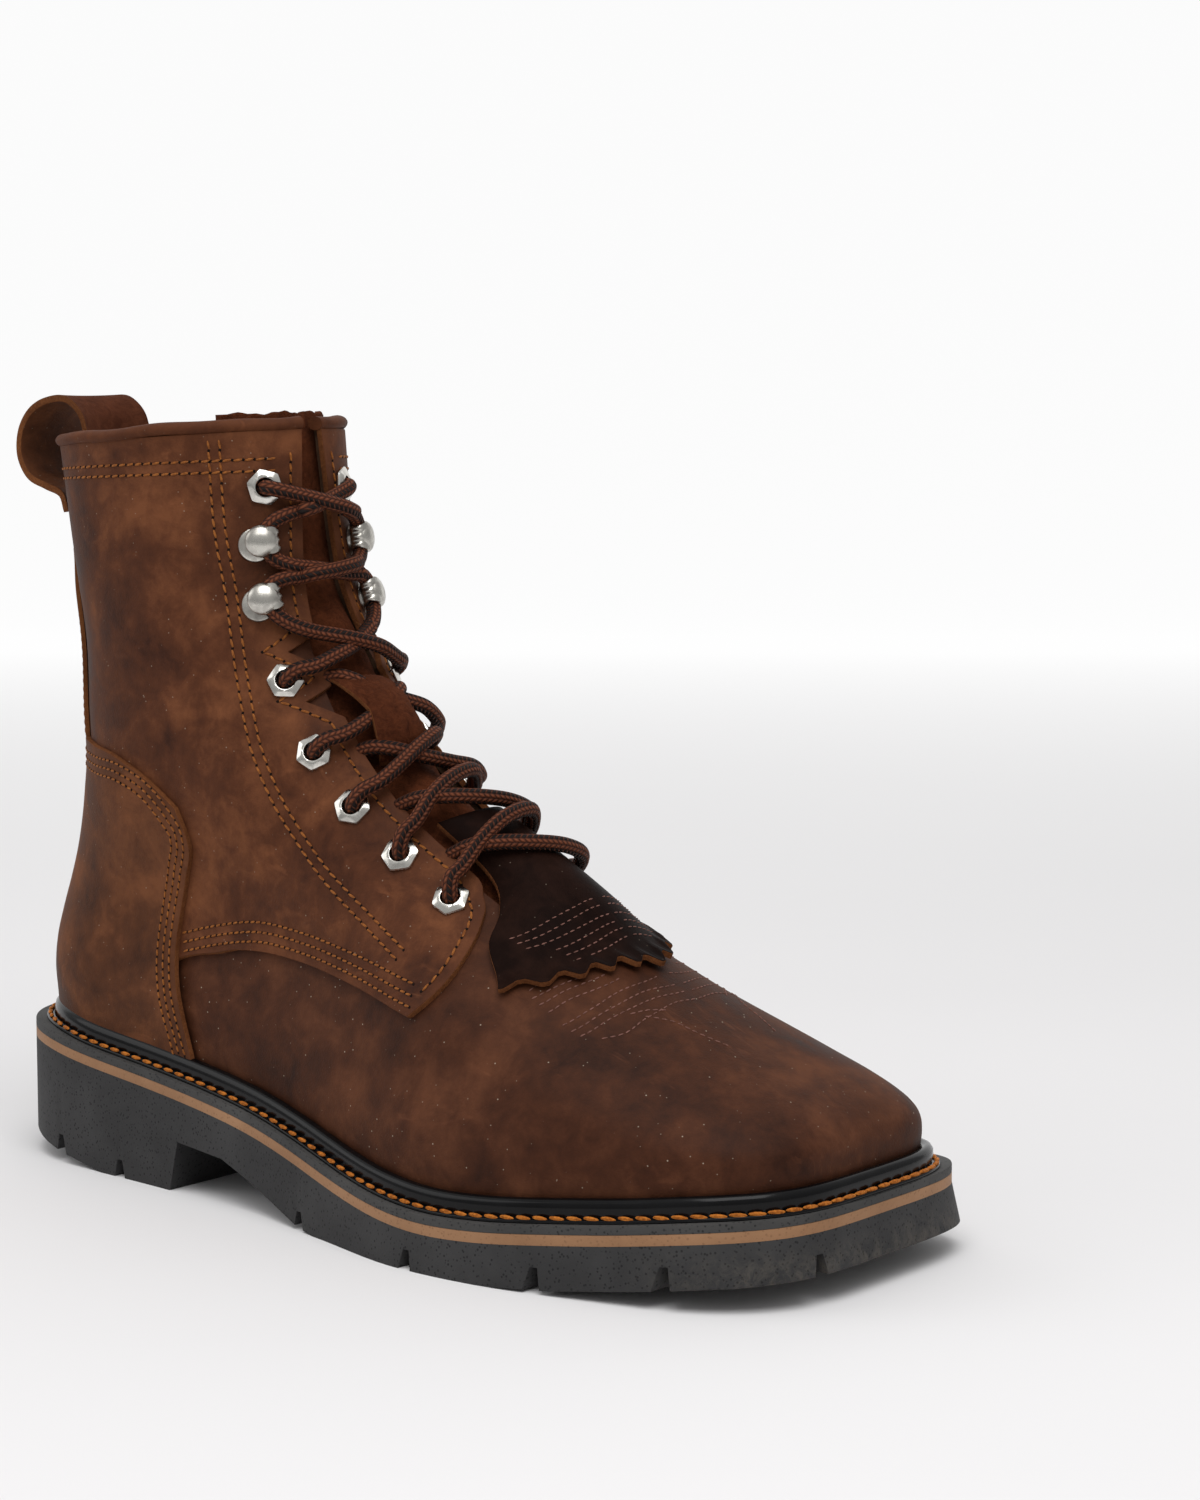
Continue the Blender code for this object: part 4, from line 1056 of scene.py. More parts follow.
def soleLayer(bottom, top, flare=0.0, extra=(), bevel=0.5):
    stations = soleStations(extra)
    share = np.linspace(0, 1, soleShape["columns"])[:, None]
    flareFrom, over = soleShape["flareFrom"]
    faces = []
    for height, reach in ((top, 0.0), (bottom, flare)):
        reach = reach * np.clip((stations - flareFrom) / over, 0, 1)
        lateral, medial = (soleEdge(stations, side) + side * reach for side in sides)
        y = lateral + share * (medial - lateral)
        faces.append(np.stack(np.broadcast_arrays(stations + reach, y, height(stations)), -1))
    return shellMesh(faces[0], faces[1], 1, 0, bevel)


def groundLine(along):
    return np.interp(along, *np.transpose(soleShape["ground"]))


def grooveBars():  # tapered bars that cut the grooves between the lugs
    bars = bmesh.new()
    depth, below = soleShape["grooveDepth"], soleShape["grooveBelow"]
    root, mouth = soleShape["grooveRoot"], soleShape["grooveMouth"]
    mouth = mouth + below * (mouth - root) / depth
    for along, across, turn, length in soleShape["grooves"]:
        made = bmesh.ops.create_cube(bars, size=1)["verts"]
        for vertex in made:
            wide, height = (root, depth) if vertex.co.z > 0 else (mouth, -below)
            vertex.co = Vector((vertex.co.x * wide, vertex.co.y * length, height)) * mm
        place = toMetres([(along, across, groundLine(along))])[0]
        spin = Matrix.Translation(place) @ Matrix.Rotation(math.radians(turn), 4, "Z")
        bmesh.ops.transform(bars, matrix=spin, verts=made)
    return bars


def makeOutsole():
    steps = [row[0] for row in soleShape["ground"][1:-1]]
    body = meshObject("outsoleBody", soleLayer(groundLine, soleTop, soleShape["flare"], steps, 0))
    tool = meshObject("grooveBars", grooveBars())
    cutter = body.modifiers.new("grooves", "BOOLEAN")
    cutter.operation = "DIFFERENCE"
    cutter.object = tool
    cutter.use_self = True
    softener = body.modifiers.new("edges", "BEVEL")
    softener.width = soleShape["edge"] * mm
    softener.segments = 2
    softener.limit_method = "ANGLE"
    softener.angle_limit = math.radians(soleShape["edgeAngle"])
    bpy.context.view_layer.update()
    graph = bpy.context.evaluated_depsgraph_get()
    made = bpy.data.meshes.new_from_object(body.evaluated_get(graph), depsgraph=graph)
    for item in (body, tool):
        bpy.data.objects.remove(item, do_unlink=True)
    bm = bmesh.new()
    bm.from_mesh(made)
    for face in bm.faces:
        face.material_index = 0
    addPiece("lugOutsole", bm, ["outsole"], "sole_rubber", ["outsole"], 32)


def makeLayers():  # tan stripe and the dark layer over it
    touch, gap = 0.03, soleShape["gap"]
    high = gap + soleShape["stripe"]
    ledge = high + gap + soleShape["midsole"]
    for name, finish, slotName, node, low, top, bevel in (
            ("tanStripe", "stripe", "stripe_rubber", "midsole_stripe", touch, high, 0.25),
            ("midsoleLedge", "midsole", "sole_rubber", "midsole", high + touch, ledge, 0.45)):
        bm = soleLayer(lambda along: soleTop(along, low), lambda along: soleTop(along, top), bevel=bevel)
        addPiece(name, bm, (finish, finish), slotName, [node], 32)


makeOutsole()
makeLayers()

weltShape = {
    "profile": [  # out from the upper, and height over the midsole
        (-1.0, 0.1), (-1.0, 5.0), (0.1, 6.0), (1.3, 6.4), (2.6, 6.0), (3.6, 4.9), (4.1, 3.2), (4.2, 1.7),
        (4.5, 1.1), (6.6, 1.0), (6.9, 0.7), (6.9, 0.1)],
    "stations": 360,
    "levelHeight": 8.1,  # height of one level of the last, near the sole
    "lowest": 0.3,
    "stitchOut": 5.7,
    "stitchHeight": 1.35,
}


def weltLine(turns, out, height):
    level = np.full(turns.shape, max(height, weltShape["lowest"]) / weltShape["levelHeight"])
    foot = barePoint(turns, level) + out * levelNormal(turns, level)
    foot[:, 2] = feather(foot[:, 0]) - soleShape["gap"] + height
    return foot


def makeWelt():
    turns = np.linspace(-1, 1, weltShape["stations"] + 1)[:-1]
    ring = [weltLine(turns, out, height) for out, height in weltShape["profile"]]
    points = np.stack(ring + [ring[0]])
    points = np.concatenate([points, points[:, :1]], 1)
    bm = gridMesh(points)
    mergePoints(bm)
    faceOutward(bm)
    addPiece("stormWelt", bm, ["welt"], "welt_rubber", ["welt"], 50)


insoleShape = {
    "turns": (0.02, 0.98, 60),
    "columns": 13,
    "level": 0.3,
    "inside": 0.8,
    "thick": 3.5,
    "rim": 1.5,
}


def makeInsole():
    turn = np.linspace(*insoleShape["turns"])
    level = np.full(turn.shape, insoleShape["level"])
    inside = -leather["wall"] - insoleShape["inside"]
    lateral, medial = (lastPoint(side * turn, level, inside) for side in sides)
    share = np.linspace(0, 1, insoleShape["columns"])[:, None, None]
    face = lateral + share * (medial - lateral)
    upper, lower = face.copy(), face.copy()
    lower[..., 2] = feather(face[..., 0])
    rim = insoleShape["rim"] * (2 * share[..., 0] - 1) ** 4  # turned up at the sides
    upper[..., 2] = lower[..., 2] + insoleShape["thick"] + rim
    addPiece("insole", shellMesh(upper, lower), ("insole", "insole"), "insole_lining", ["insole"])


makeWelt()
makeInsole()
print("sole done")

# Lace holes
holes = [  # from the top: kind, height, distance from the throat's centre on the lateral and medial side
    ("eyelet", 212.3, 17.0, 9.5), ("hook", 196.1, 18.6, 11.5), ("hook", 178.4, 19.8, 13.0),
    ("eyelet", 154.9, 21.2, 18.0), ("eyelet", 134.6, 23.2, 22.8), ("eyelet", 119.7, 23.6, 22.8),
    ("eyelet", 107.2, 24.2, 22.6), ("eyelet", 96.0, 25.6, 23.0)]


def holeSeat(number, side):
    _, height, lateral, medial = holes[number]
    across = -lateral if side < 0 else medial
    levels = np.linspace(5.0, collarLevel, 600)
    turns = throatTurn(levels, np.full(levels.shape, across))
    level = float(np.interp(height, barePoint(turns, levels)[:, 2], levels))
    return float(throatTurn(level, across)), level


seats = {(number, side): holeSeat(number, side) for number in range(len(holes)) for side in sides}
seatGap = 0.1  # metal over leather
upBeside = 0.05  # levels above and below a point that give the way up the surface


def seatFrame(number, side):  # place, and the ways to the right, up the row and outward
    turn, level = seats[number, side]
    outward = bareNormal(turn, level)
    upward = upStep(turn, level, upBeside)
    upward = unit(upward - (upward @ outward) * outward)
    return lastPoint(turn, level, leather["quarterOut"] + seatGap), np.cross(upward, outward), upward, outward


def onSeat(seat, *local):
    place, right, upward, outward = seat
    local = np.stack(np.broadcast_arrays(*local), -1)
    return place + local[..., :1] * right + local[..., 1:2] * upward + local[..., 2:] * outward


def seatsOf(kind):
    for number, hole in enumerate(holes):
        if hole[0] == kind:
            for side, word in sides.items():
                yield number, side, seatFrame(number, side), f"{kind}_{word}_{number + 1}"


eyeletShape = {
    "profile": [  # half width, height and share of six-sidedness
        (5.05, -0.1, 1.0), (5.1, 0.4, 1.0), (4.9, 0.85, 1.0), (3.8, 1.5, 0.7), (3.3, 1.7, 0.2),
        (3.0, 1.65, 0.0), (2.75, 1.35, 0.0), (2.65, 0.6, 0.0), (2.62, -1.4, 0.0)],
    "points": 36,
    "turn": {-1: 12.0, 1: -9.0},
    "turnEach": 17,  # degrees from one eyelet to the next
    "cornerCut": 1.125,
    "holeShade": (2.75, 0.12),  # radius and height of the dark disc in the hole: painted shade inside the eyelet
}


def makeEyelets():
    rings, holeShades = bmesh.new(), bmesh.new()
    nodes = []
    angle = np.linspace(0, 2 * math.pi, eyeletShape["points"] + 1)
    sixSided = 1 / np.cos((angle + math.pi / 6) % (math.pi / 3) - math.pi / 6)
    half, height, share = (column[:, None] for column in np.transpose(eyeletShape["profile"]))
    radius = half * ((1 - share) + share * np.minimum(sixSided, eyeletShape["cornerCut"]))
    holeShadeRadius, holeShadeHeight = eyeletShape["holeShade"]
    for number, side, seat, node in seatsOf("eyelet"):
        spun = angle + math.radians(eyeletShape["turn"][side] + eyeletShape["turnEach"] * number)
        ring = gridMesh(onSeat(seat, radius * np.cos(spun), radius * np.sin(spun), height))
        mergePoints(ring, smallJoin)
        joinMesh(rings, ring)
        # a near-black disc across the hole, in the needle-hole shade finish: painted shade inside the eyelet
        holeShade = onSeat(seat, holeShadeRadius * np.cos(spun), holeShadeRadius * np.sin(spun), holeShadeHeight)
        holeShades.faces.new([holeShades.verts.new(place) for place in toMetres(holeShade[:-1])])
        nodes.append(node)
    faceOutward(rings)
    for face in holeShades.faces:
        face.material_index = 1
    joinMesh(rings, holeShades)
    addPiece("eyeletRings", rings, ("nickel", "needleHoleShade"), "nickel", nodes, 28)


hookShape = {
    "base": [(0.0, 1.0), (4.3, 1.0), (4.9, 0.8), (5.1, 0.4), (5.1, -0.2)],  # radius and height
    "cap": [(0.0, 7.3), (1.5, 7.2), (2.9, 6.85), (4.0, 6.25), (4.6, 5.6), (4.8, 5.1), (4.5, 4.8), (0.0, 4.9)],
    "discs": [("base", 2.0, -0.7), ("cap", 0.2, 0.0)],  # away from the throat, and up the row
    "neck": [  # away from the throat, height and half width
        (-1.6, 0.9, 4.3), (-3.4, 1.0, 4.1), (-4.6, 1.6, 3.5), (-5.1, 2.7, 3.1), (-5.1, 3.9, 3.1),
        (-4.7, 5.0, 3.4), (-3.6, 5.9, 3.9), (-2.2, 6.4, 4.0)],
    "thick": 0.8,
    "rib": 0.3,
    "ribPace": 2.6,
    "ribAt": (3.3, 1.6),  # height of the ribs' middle, and how far they reach
    "points": 40,
    "neckRows": 40,
    "neckColumns": 25,
}


def makeHooks():
    bm = bmesh.new()
    nodes = []
    fine = finePath(hookShape["neck"], hookShape["neckRows"])
    run = unit(np.gradient(fine[:, :2], axis=0))
    wide = np.linspace(-1, 1, hookShape["neckColumns"])[None, :] * fine[:, 2:]
    ribMiddle, ribReach = hookShape["ribAt"]
    ribs = hookShape["rib"] * np.exp(-((fine[:, 1:2] - ribMiddle) / ribReach) ** 2)
    ribs = ribs * np.cos(wide * hookShape["ribPace"])
    angle = np.linspace(0, 2 * math.pi, hookShape["points"] + 1)
    for _, side, seat, node in seatsOf("hook"):
        for name, away, up in hookShape["discs"]:
            radius, height = (column[:, None] for column in np.transpose(hookShape[name]))
            rightward, upward = radius * np.cos(angle) + side * away, radius * np.sin(angle) + up
            disc = gridMesh(onSeat(seat, rightward, upward, height))
            mergePoints(disc, smallJoin)
            faceOutward(disc)
            joinMesh(bm, disc)
        faces = []
        for depth in (0.0, hookShape["thick"]):
            push = depth - ribs
            away = fine[:, :1] + push * run[:, 1:2]
            faces.append(onSeat(seat, side * away, wide, fine[:, 1:2] - push * run[:, :1]))
        joinMesh(bm, shellMesh(faces[0], faces[1], 0, 0, 0))
        nodes.append(node)
    addPiece("speedHooks", bm, ["antique"], "antique_nickel", nodes, 40)


makeEyelets()
makeHooks()

# Lace: each strand leaves a hole, crosses the tongue and dives under the other eyestay, or goes round a hook
laceShape = {
    "radius": 2.3,
    "corners": 20,
    "points": 70,
    "overSide": {1: 1, 2: -1, 3: 1, 4: -1, 5: -1, 6: -1, 7: -1},  # side whose strand lies on top, by crossing
    "cross": 2.0,  # how far the upper strand rises where two cross
    "crossUnder": -0.8,  # the lower one sinks by this share of it
    "crossReach": 6.0,
    "middle": [(-0.5, 6.4), (-0.2, 6.2), (0.2, 6.0)],  # place between the two holes, and height
    "early": 2.0,  # how soon a strand between eyelets climbs
    "nearEarly": {4: 1.3, 5: 2.2, 6: 3.6, 7: 4.0},  # the same for strands of the lateral side, by crossing
    "nearArch": {4: 0.0, 5: 0.2, 6: 0.4, 7: 0.42},  # how far these climb past their end and come down to it
    "dip": {4: -1.6},  # under the keeper
    "hookSide": 5.8,  # from a hook's middle to a strand that leaves it
    "hookHeight": 5.2,
    "beforeHook": (0.45, 5.8),
    "roundHook": [  # towards the throat, and up the row
        (0.5, 0.0), (0.8, 2.4), (2.2, 4.6), (5.0, 5.8), (9.0, 5.8)],
    "bulge": [(6.5, 5.0), (7.2, 6.4), (8.7, 5.0), (9.4, 0.0)],  # over the kiltie, by level
    "bulgeReach": 17.0,
    "leave": [  # out of an eyelet: towards the throat, height and climb
        (0.0, -2.0, 0.0), (0.0, 2.0, 0.0), (0.8, 4.7, 0.4), (2.8, 6.2, 0.9), (6.0, 6.4, 0.0)],
    "enter": [  # into the top eyelets
        (6.0, 5.8, 0.0), (2.6, 5.4, 0.0), (0.6, 4.2, 0.0), (0.0, 2.0, 0.0), (0.0, -1.5, 0.0)],
    "dive": {  # height and climb where a strand goes under the far edge
        -1: [(3.6, 0.0), (2.2, 0.0), (-0.4, 0.0), (-4.6, 0.0)],
        1: [(5.2, 1.2), (3.8, 2.6), (0.6, 3.2), (-4.4, 2.4)]},
    "diveAt": [(0.6, 0.0), (1.0, -3.0), (1.0, -0.4), (1.0, 2.6)],  # share of the way to the edge, and past it
    "end": -5.0,  # height of the hidden end
}


def strandRows(crossing, side):  # across towards the far side, height over the last, climb beside the run
    upper, lower = holes[crossing - 1], holes[crossing]
    start, end = (lower[2], upper[3]) if side < 0 else (lower[3], upper[2])
    hookSide, hookHeight, roundHook = laceShape["hookSide"], laceShape["hookHeight"], laceShape["roundHook"]
    rows = []
    if lower[0] == "hook":  # comes round the neck from under the cap
        rows += [(-start + local, hookHeight, climb - hookSide) for local, climb in roundHook]
    else:
        rows += [(-start + local, out, up) for local, out, up in laceShape["leave"]]
    rows += [(place * (start if place < 0 else end), out, 0.0) for place, out in laceShape["middle"]]
    if upper[0] == "hook":
        place, out = laceShape["beforeHook"]
        rows += [(place * end, out, 0.0)]
        rows += [(end - local, hookHeight, hookSide - climb) for local, climb in roundHook[::-1]]
    elif crossing == 1:
        rows += [(end - local, out, up) for local, out, up in laceShape["enter"]]
    else:
        edge = float(throatHalf(seats[crossing - 1, -side][1], -side))
        places = [share * edge + past for share, past in laceShape["diveAt"]]
        rows += [(place, out, up) for place, (out, up) in zip(places, laceShape["dive"][side])]
        rows += [(end, laceShape["end"], 0.0)]
    rows = np.array(rows, float)
    return rows, np.clip((rows[:, 0] + start) / (start + end), 0, 1)


def strandClimb(crossing, side, share):  # share of the way up to the next hole
    if "hook" in (holes[crossing - 1][0], holes[crossing][0]):
        return share
    if side > 0:
        return 1 - (1 - share) ** laceShape["early"]
    climb = 1 - (1 - share) ** laceShape["nearEarly"][crossing]
    return climb + laceShape["nearArch"][crossing] * np.sin(math.pi * share)


def strandPath(crossing, side):
    rows, share = strandRows(crossing, side)
    startLevel, endLevel = seats[crossing, side][1], seats[crossing - 1, -side][1]
    startUp = laceShape["hookSide"] if holes[crossing][0] == "hook" else 0.0
    endUp = -laceShape["hookSide"] if holes[crossing - 1][0] == "hook" else 0.0
    across, out, up = rows.T
    up = up + startUp * (1 - share) + endUp * share
    level = startLevel + strandClimb(crossing, side, share) * (endLevel - startLevel)
    turn = throatTurn(level, -side * across)
    bulge = np.interp(level, *np.transpose(laceShape["bulge"]))
    bulge = bulge * np.clip(1 - (across / laceShape["bulgeReach"]) ** 2, 0, 1)
    over = laceShape["cross"] * (1 if laceShape["overSide"][crossing] == side else laceShape["crossUnder"])
    over += laceShape["dip"].get(crossing, 0.0)
    out = out + bulge + over * np.exp(-(across / laceShape["crossReach"]) ** 2)
    points = lastPoint(turn, level, out) + up[:, None] * unit(upStep(turn, level, upBeside))
    length = runLength(points)
    return hermite(length, points, np.linspace(0, length[-1], laceShape["points"])), length[-1]


def makeLace():
    bm = bmesh.new()
    total = 0.0
    crossings = range(1, len(holes))
    for crossing in crossings:
        for side in sides:
            path, length = strandPath(crossing, side)
            total += length
            joinMesh(bm, tubeMesh(path, laceShape["radius"], laceShape["corners"]))
    addPiece("lace", bm, ["braid"], "lace_braid", [f"lace_crossing_{number}" for number in crossings])
    print("lace shown, mm:", round(total))


makeLace()

# Stitching
stitches = {
    "seam": {"pitch": 3.3, "length": 2.8, "width": 0.8, "height": 0.62, "slant": 9.0},
    "close": {"pitch": 2.6, "length": 2.15, "width": 0.72, "height": 0.55, "slant": 9.0},
    "toe": {"pitch": 2.3, "length": 1.7, "width": 0.46, "height": 0.36, "slant": 4.0},
    "welt": {"pitch": 5.2, "length": 5.0, "width": 1.55, "height": 1.3, "slant": -7.0},
    "aboveQuarter": 0.08,  # middle of a stitch over its leather
    "aboveCounter": 0.06,
    "hole": (0.52, 0.24, 0.5, 0.12),  # half axes of the dark mark at a needle hole, painted shade in the hole, and how deep it lies
    "tripleRows": (2.7, 5.5, 8.3),  # distances from the edge
    "backstayRows": (2.4, 5.0),
    "doubleRow": 3.3,
    "collarRows": (12.76, 12.69),  # levels
    "collarEnd": 7.0,
    "edgeRow": 3.4,  # from the eyestay's edge, notches included
    "edgeLevels": (12.8, 7.7, 400),
    "tabRow": 3.8,
    "tabSpan": slice(6, -12),  # the ends of the tab's row fall away
    "tabLine": [(0.845, 7.70), (0.812, 7.0), (0.741, 6.19), (0.675, 5.32), (0.617, 4.54)],
    "eyestayRow": [  # turn and level, as in the next two
        (0.714, 12.89), (0.707, 12.40), (0.708, 11.81), (0.675, 10.88), (0.634, 9.82), (0.607, 8.67),
        (0.598, 7.46), (0.618, 6.14), (0.636, 5.62)],
    "vampSeam": [(0.345, 3.76), (0.388, 4.28), (0.433, 4.69), (0.496, 4.85), (0.557, 4.78), (0.617, 4.54)],
    "counterEdge": [
        (0.0, 9.4), (0.13, 9.39), (0.265, 9.35), (0.338, 9.34), (0.399, 9.0), (0.423, 8.46), (0.428, 7.85),
        (0.415, 7.25), (0.382, 6.29), (0.355, 5.21), (0.341, 4.1), (0.3395, 3.0), (0.346, 1.9),
        (0.352, 0.86)],
}
sewn = {name: [] for name in ("thread", "toeThread", "needleHoleShade", "weltThread")}


def grainShape():  # one small rounded stitch
    bm = bmesh.new()
    bmesh.ops.create_uvsphere(bm, u_segments=6, v_segments=5, radius=1)
    bm.verts.index_update()
    points = np.array([vertex.co[:] for vertex in bm.verts])
    faces = [[vertex.index for vertex in face.verts] for face in bm.faces]
    bm.free()
    return points, faces


stitchPoints, stitchFaces = grainShape()


def sew(thread, places, wide, high, long):  # lays stitches along their own three half axes
    axes = np.stack([wide, high, long], 1) * mm
    sewn[thread].append(places[:, None] + np.einsum("pk,nkx->npx", stitchPoints, axes))


def sewnMesh(thread):
    points = np.concatenate(sewn[thread])
    starts = range(0, len(points) * len(stitchPoints), len(stitchPoints))
    faces = [[corner + start for corner in face] for start in starts for face in stitchFaces]
    held = bpy.data.meshes.new("held")
    held.from_pydata(points.reshape(-1, 3), [], faces)
    bm = bmesh.new()
    bm.from_mesh(held)
    bpy.data.meshes.remove(held)
    faceOutward(bm)
    return bm


def smoothRow(pairs, side, count=160):
    pairs = np.array(pairs, float) * [side, 1]
    places = barePoint(pairs[:, 0], pairs[:, 1])
    length = runLength(places)
    fine = hermite(length, pairs, np.linspace(0, length[-1], count))
    return fine[:, 0], fine[:, 1]


def shiftRow(turn, level, away):  # the same row moved sideways on the surface
    step = 1e-3
    byTurn, byLevel = acrossStep(turn, level, step) / (2 * step), upStep(turn, level, step) / (2 * step)
    run = unit(np.gradient(barePoint(turn, level), axis=0))
    sideways = np.cross(bareNormal(turn, level), run)
    e, f, g = ((a * b).sum(-1) for a, b in ((byTurn, byTurn), (byTurn, byLevel), (byLevel, byLevel)))
    p, q = (sideways * byTurn).sum(-1), (sideways * byLevel).sum(-1)
    det = e * g - f * f
    return turn + away * (p * g - q * f) / det, level + away * (q * e - p * f) / det


def sewPath(points, normals, style, thread="thread", holeShades=True):
    length = runLength(points)
    at = (np.arange(int(length[-1] / style["pitch"])) + 0.5) * style["pitch"]

    def along(values, where):
        return np.stack([np.interp(where, length, column) for column in values.T], -1)

    place = along(points, at)
    ahead = along(points, at + 0.6) - along(points, at - 0.6)
    normal = unit(along(normals, at))
    run = unit(ahead - (ahead * normal).sum(-1, keepdims=True) * normal)
    tilt = math.radians(style["slant"])
    slanted = run * math.cos(tilt) + np.cross(normal, run) * math.sin(tilt)
    beside = np.cross(normal, slanted)
    halves = (style[size] / 2 for size in ("width", "height", "length"))
    sew(thread, toMetres(place), *(axis * half for axis, half in zip((beside, normal, slanted), halves)))
    # a dark ellipsoid sunk at the end of each stitch: painted shade in its needle hole
    if holeShades:
        wide, high, long, deep = stitches["hole"]
        ends = toMetres(place + run * style["pitch"] / 2 - normal * deep)
        sew("needleHoleShade", ends, beside * wide, normal * high, run * long)


def sewRow(turn, level, out, style, thread="thread", holeShades=True):
    sewPath(lastPoint(turn, level, out), bareNormal(turn, level), stitches[style], thread, holeShades)


def sewEyestay(side, over):
    turn, level = smoothRow(stitches["eyestayRow"], side)
    sewRow(turn, level, over, "seam")
    sewRow(*shiftRow(turn, level, -stitches["doubleRow"] * side), over, "seam")
    level = np.linspace(*stitches["edgeLevels"])
    turn = throatTurn(level, side * eyestayHalf(level, side, stitches["edgeRow"]))
    tab = shiftRow(*smoothRow(stitches["tabLine"], side), stitches["tabRow"] * side)
    turn, level = (np.concatenate([row, end[stitches["tabSpan"]]]) for row, end in zip((turn, level), tab))
    sewRow(turn, level, over, "seam")


def sewBack(side, over):
    edge = smoothRow(stitches["vampSeam"], side)
    for away in stitches["tripleRows"]:
        sewRow(*shiftRow(*edge, -away * side), over, "close")
    edge = smoothRow(stitches["counterEdge"], side)
    for away in stitches["tripleRows"]:
        turn, level = shiftRow(*edge, away * side)
        sewRow(turn, level, counterLift(level) + counterShape["thick"] + stitches["aboveCounter"], "close")
    part = np.linspace(1.0, 0.06, 120)
    lift = backstayLift(part) + backstayShape["thick"] + stitches["aboveCounter"]
    for away in stitches["backstayRows"]:
        sewRow(*shiftRow(side * backstayHalf(part), backstayLevel(part), away * side), lift, "close")


def sewCollar(side, over):
    for level in stitches["collarRows"]:
        front = float(throatTurn(level, side * (throatHalf(level, side) + stitches["collarEnd"])))
        turn = np.linspace(front, 0.0, 200)
        sewRow(turn, np.full(turn.shape, level), over, "seam")


for side in sides:
    for sewPart in (sewEyestay, sewBack, sewCollar):
        sewPart(side, leather["quarterOut"] + stitches["aboveQuarter"])


flames = {  # rows of a plain flame, mirrored about the middle
    "above": 0.05,
    "toe": [  # millimetres across, and level
        [(35.8, 5.54), (29.9, 5.79), (24.6, 5.96)],
        [(37.3, 5.41), (29.5, 5.69), (19.7, 5.96)],
        [(37.8, 5.31), (28.4, 5.65), (15.3, 5.97)],
        [(38.2, 5.20), (29.1, 5.53), (12.0, 5.93)],
        [(39.2, 4.99), (29.9, 5.33), (17.0, 5.69), (1.0, 5.89)],
        [(39.3, 4.89), (27.9, 5.30), (13.2, 5.64), (0.0, 5.70)],
        [(39.1, 4.81), (27.5, 5.22), (13.3, 5.52), (0.0, 5.58)],
        [(36.2, 4.79), (30.5, 4.91), (21.7, 5.19), (10.0, 5.42), (0.0, 5.44)],
        [(24.1, 5.26), (18.4, 5.33), (12.5, 5.31)],
        [(21.5, 5.23), (16.7, 5.12), (14.7, 4.90), (11.3, 4.58)]],
    "kiltie": [  # share of the flap's half width, and level
        [(0.90, 6.36), (0.60, 6.68), (0.25, 6.84), (0.0, 6.88)],
        [(0.86, 6.28), (0.55, 6.58), (0.25, 6.74), (0.0, 6.78)],
        [(0.82, 6.20), (0.50, 6.48), (0.22, 6.62), (0.0, 6.66)],
        [(0.66, 6.20), (0.42, 6.40), (0.20, 6.52), (0.0, 6.56)],
        [(0.62, 6.12), (0.38, 6.31), (0.18, 6.43), (0.0, 6.47)],
        [(0.58, 6.05), (0.34, 6.22), (0.15, 6.33), (0.0, 6.37)]],
}


def flameRows(name, nearest):  # smooth rows on both sides, kept off the middle itself
    for rows in flames[name]:
        rows = np.array(rows, float)
        fine = hermite(np.arange(len(rows), dtype=float), rows, np.linspace(0, len(rows) - 1, 80))
        for side in sides:
            yield side * np.maximum(fine[:, 0], nearest), fine[:, 1]


def sewFlames():
    for across, level in flameRows("toe", 0.01):
        sewRow(throatTurn(level, across), level, flames["above"], "toe", "toeThread", False)
    for share, level in flameRows("kiltie", 0.002):
        turn, lift = kiltieAt(share, level)
        sewRow(turn, level, lift + kiltieShape["thick"] + flames["above"], "toe", "toeThread", False)


def sewWelt():
    path = weltLine(np.linspace(-1, 1, 900), weltShape["stitchOut"], weltShape["stitchHeight"])
    sewPath(path, np.tile([0.0, 0.0, 1.0], (len(path), 1)), stitches["welt"], "weltThread", False)


sewFlames()
sewWelt()
for threadName, pieceName, slotName in (
        ("thread", "seamStitches", "oiled_leather"), ("toeThread", "flameStitches", "oiled_leather"),
        ("needleHoleShade", "needleHoleShades", "oiled_leather"), ("weltThread", "weltStitches", "welt_rubber")):
    addPiece(pieceName, sewnMesh(threadName), [threadName], slotName)
print("stitching done")

# Floor, light and camera
stage = {
    "reach": 3.0,  # towards the camera
    "half": 4.0,
    "wallAt": 2.2,  # behind the boot the floor bends up
    "bend": 0.8,
    "wall": 2.5,
    "fade": (0.35, 2.0),  # where the floor gives way to the white backdrop
    "floor": [(0.79, 0.78, 0.785), (0.82, 0.81, 0.815)],
    "backdrop": (0.965, 0.965, 0.965),
    "sky": (0.34, 0.62, 0.8),  # strength at the sides and overhead, and the height where it is full
    "lights": [  # name, place, aim, size, power
        ("keySoftbox", (0.5, -0.5, 1.5), (0.0, 0.0, 0.08), 1.2, 15.5),
        ("fillSoftbox", (-1.2, -0.9, 0.9), (0.0, 0.0, 0.1), 1.0, 4.0)],
}


def floorFinish(away):  # away: flat direction from the camera
    finish, tree, shader, place = newFinish("paleFloor", 0.9, 0.1)
    axes = addNode(tree, "ShaderNodeSeparateXYZ", {"Vector": place}).outputs
    behind = plus(tree, times(tree, axes["X"], float(away[0])), times(tree, axes["Y"], float(away[1])))
    far = spread(tree, behind, *stage["fade"])  # the backdrop glows evenly white
    black = (0.0, 0.0, 0.0)
    soft = mixColour(tree, noise(tree, place, 3.0, 2.0), *stage["floor"])
    tree.links.new(mixColour(tree, far, soft, black), shader.inputs["Base Color"])
    tree.links.new(mixColour(tree, far, black, stage["backdrop"]), shader.inputs["Emission Color"])
    shader.inputs["Emission Strength"].default_value = 1.0
    return finish


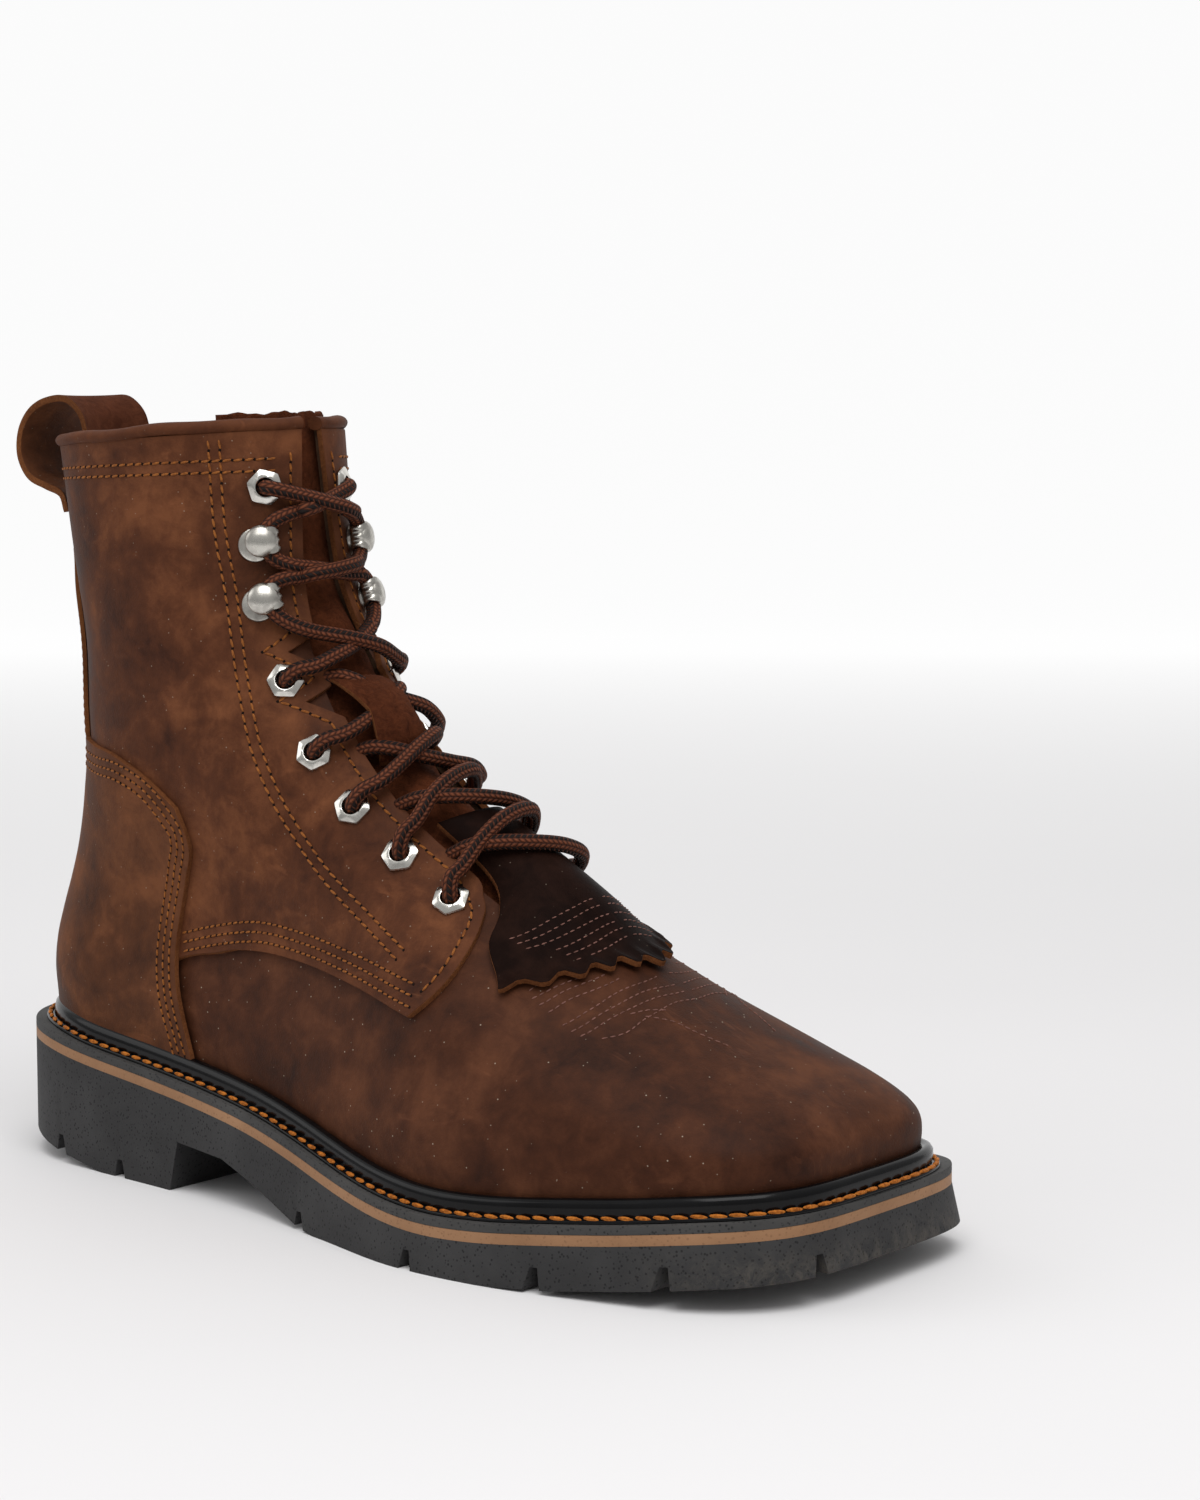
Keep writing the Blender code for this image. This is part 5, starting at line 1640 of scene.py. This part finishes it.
def makeFloor():
    azimuth = math.radians(cameraShape["azimuth"])
    away = np.array([-math.sin(azimuth), math.cos(azimuth)])
    beside = np.array([math.cos(azimuth), math.sin(azimuth)])
    bend = np.linspace(0, math.pi / 2, 20)
    wallAt, radius = stage["wallAt"], stage["bend"]
    run = np.concatenate([[-stage["reach"]], wallAt + radius * np.sin(bend), [wallAt + radius]])
    rise = np.concatenate([[0.0], radius * (1 - np.cos(bend)), [radius + stage["wall"]]])
    bm = bmesh.new()
    bmesh.ops.create_grid(bm, x_segments=1, y_segments=len(run) - 1, size=1)
    bm.verts.ensure_lookup_table()
    for row in range(len(run)):
        for column, wide in enumerate((-stage["half"], stage["half"])):
            bm.verts[row * 2 + column].co = (*(away * run[row] + beside * wide), rise[row])
    floor = meshObject("floor", bm)
    floor.data.shade_smooth()
    floor.data.materials.append(floorFinish(away))


def makeLight():
    world = bpy.data.worlds.new("studio")
    world.use_nodes = True
    tree = world.node_tree
    around = tree.nodes.new("ShaderNodeTexCoord").outputs["Generated"]
    up = addNode(tree, "ShaderNodeSeparateXYZ", {"Vector": around}).outputs["Z"]
    low, high, full = stage["sky"]
    backdrop = tree.nodes["Background"].inputs
    tree.links.new(spread(tree, up, 0.0, full, low, high), backdrop["Strength"])
    backdrop["Color"].default_value = (1.0, 1.0, 1.0, 1.0)
    bpy.context.scene.world = world
    for name, place, aim, size, power in stage["lights"]:
        light = bpy.data.lights.new(name, "AREA")
        light.energy = power
        light.size = size
        lamp = linkObject(name, light)
        lamp.location = place
        lamp.rotation_euler = (Vector(aim) - Vector(place)).to_track_quat("-Z", "Y").to_euler()


cameraShape = {
    "place": (813.0, -733.0, 245.0),  # along, across and height
    "azimuth": 38.89,
    "pitch": 6.35,
    "lens": 80.4,
    "sensor": 36.0,
}


def makeCamera():
    camera = bpy.data.cameras.new("camera")
    camera.lens = cameraShape["lens"]
    camera.sensor_width = cameraShape["sensor"]
    camera.clip_start = 0.05
    holder = linkObject("camera", camera)
    holder.location = toMetres(cameraShape["place"])
    azimuth, pitch = math.radians(cameraShape["azimuth"]), math.radians(cameraShape["pitch"])
    flat = math.cos(pitch)
    ahead = Vector((-math.sin(azimuth) * flat, math.cos(azimuth) * flat, -math.sin(pitch)))
    holder.rotation_mode = "QUATERNION"
    holder.rotation_quaternion = ahead.to_track_quat("-Z", "Y")
    bpy.context.scene.camera = holder


makeFloor()
makeLight()
makeCamera()
bpy.context.scene.view_settings.view_transform = "Standard"
bpy.context.view_layer.update()
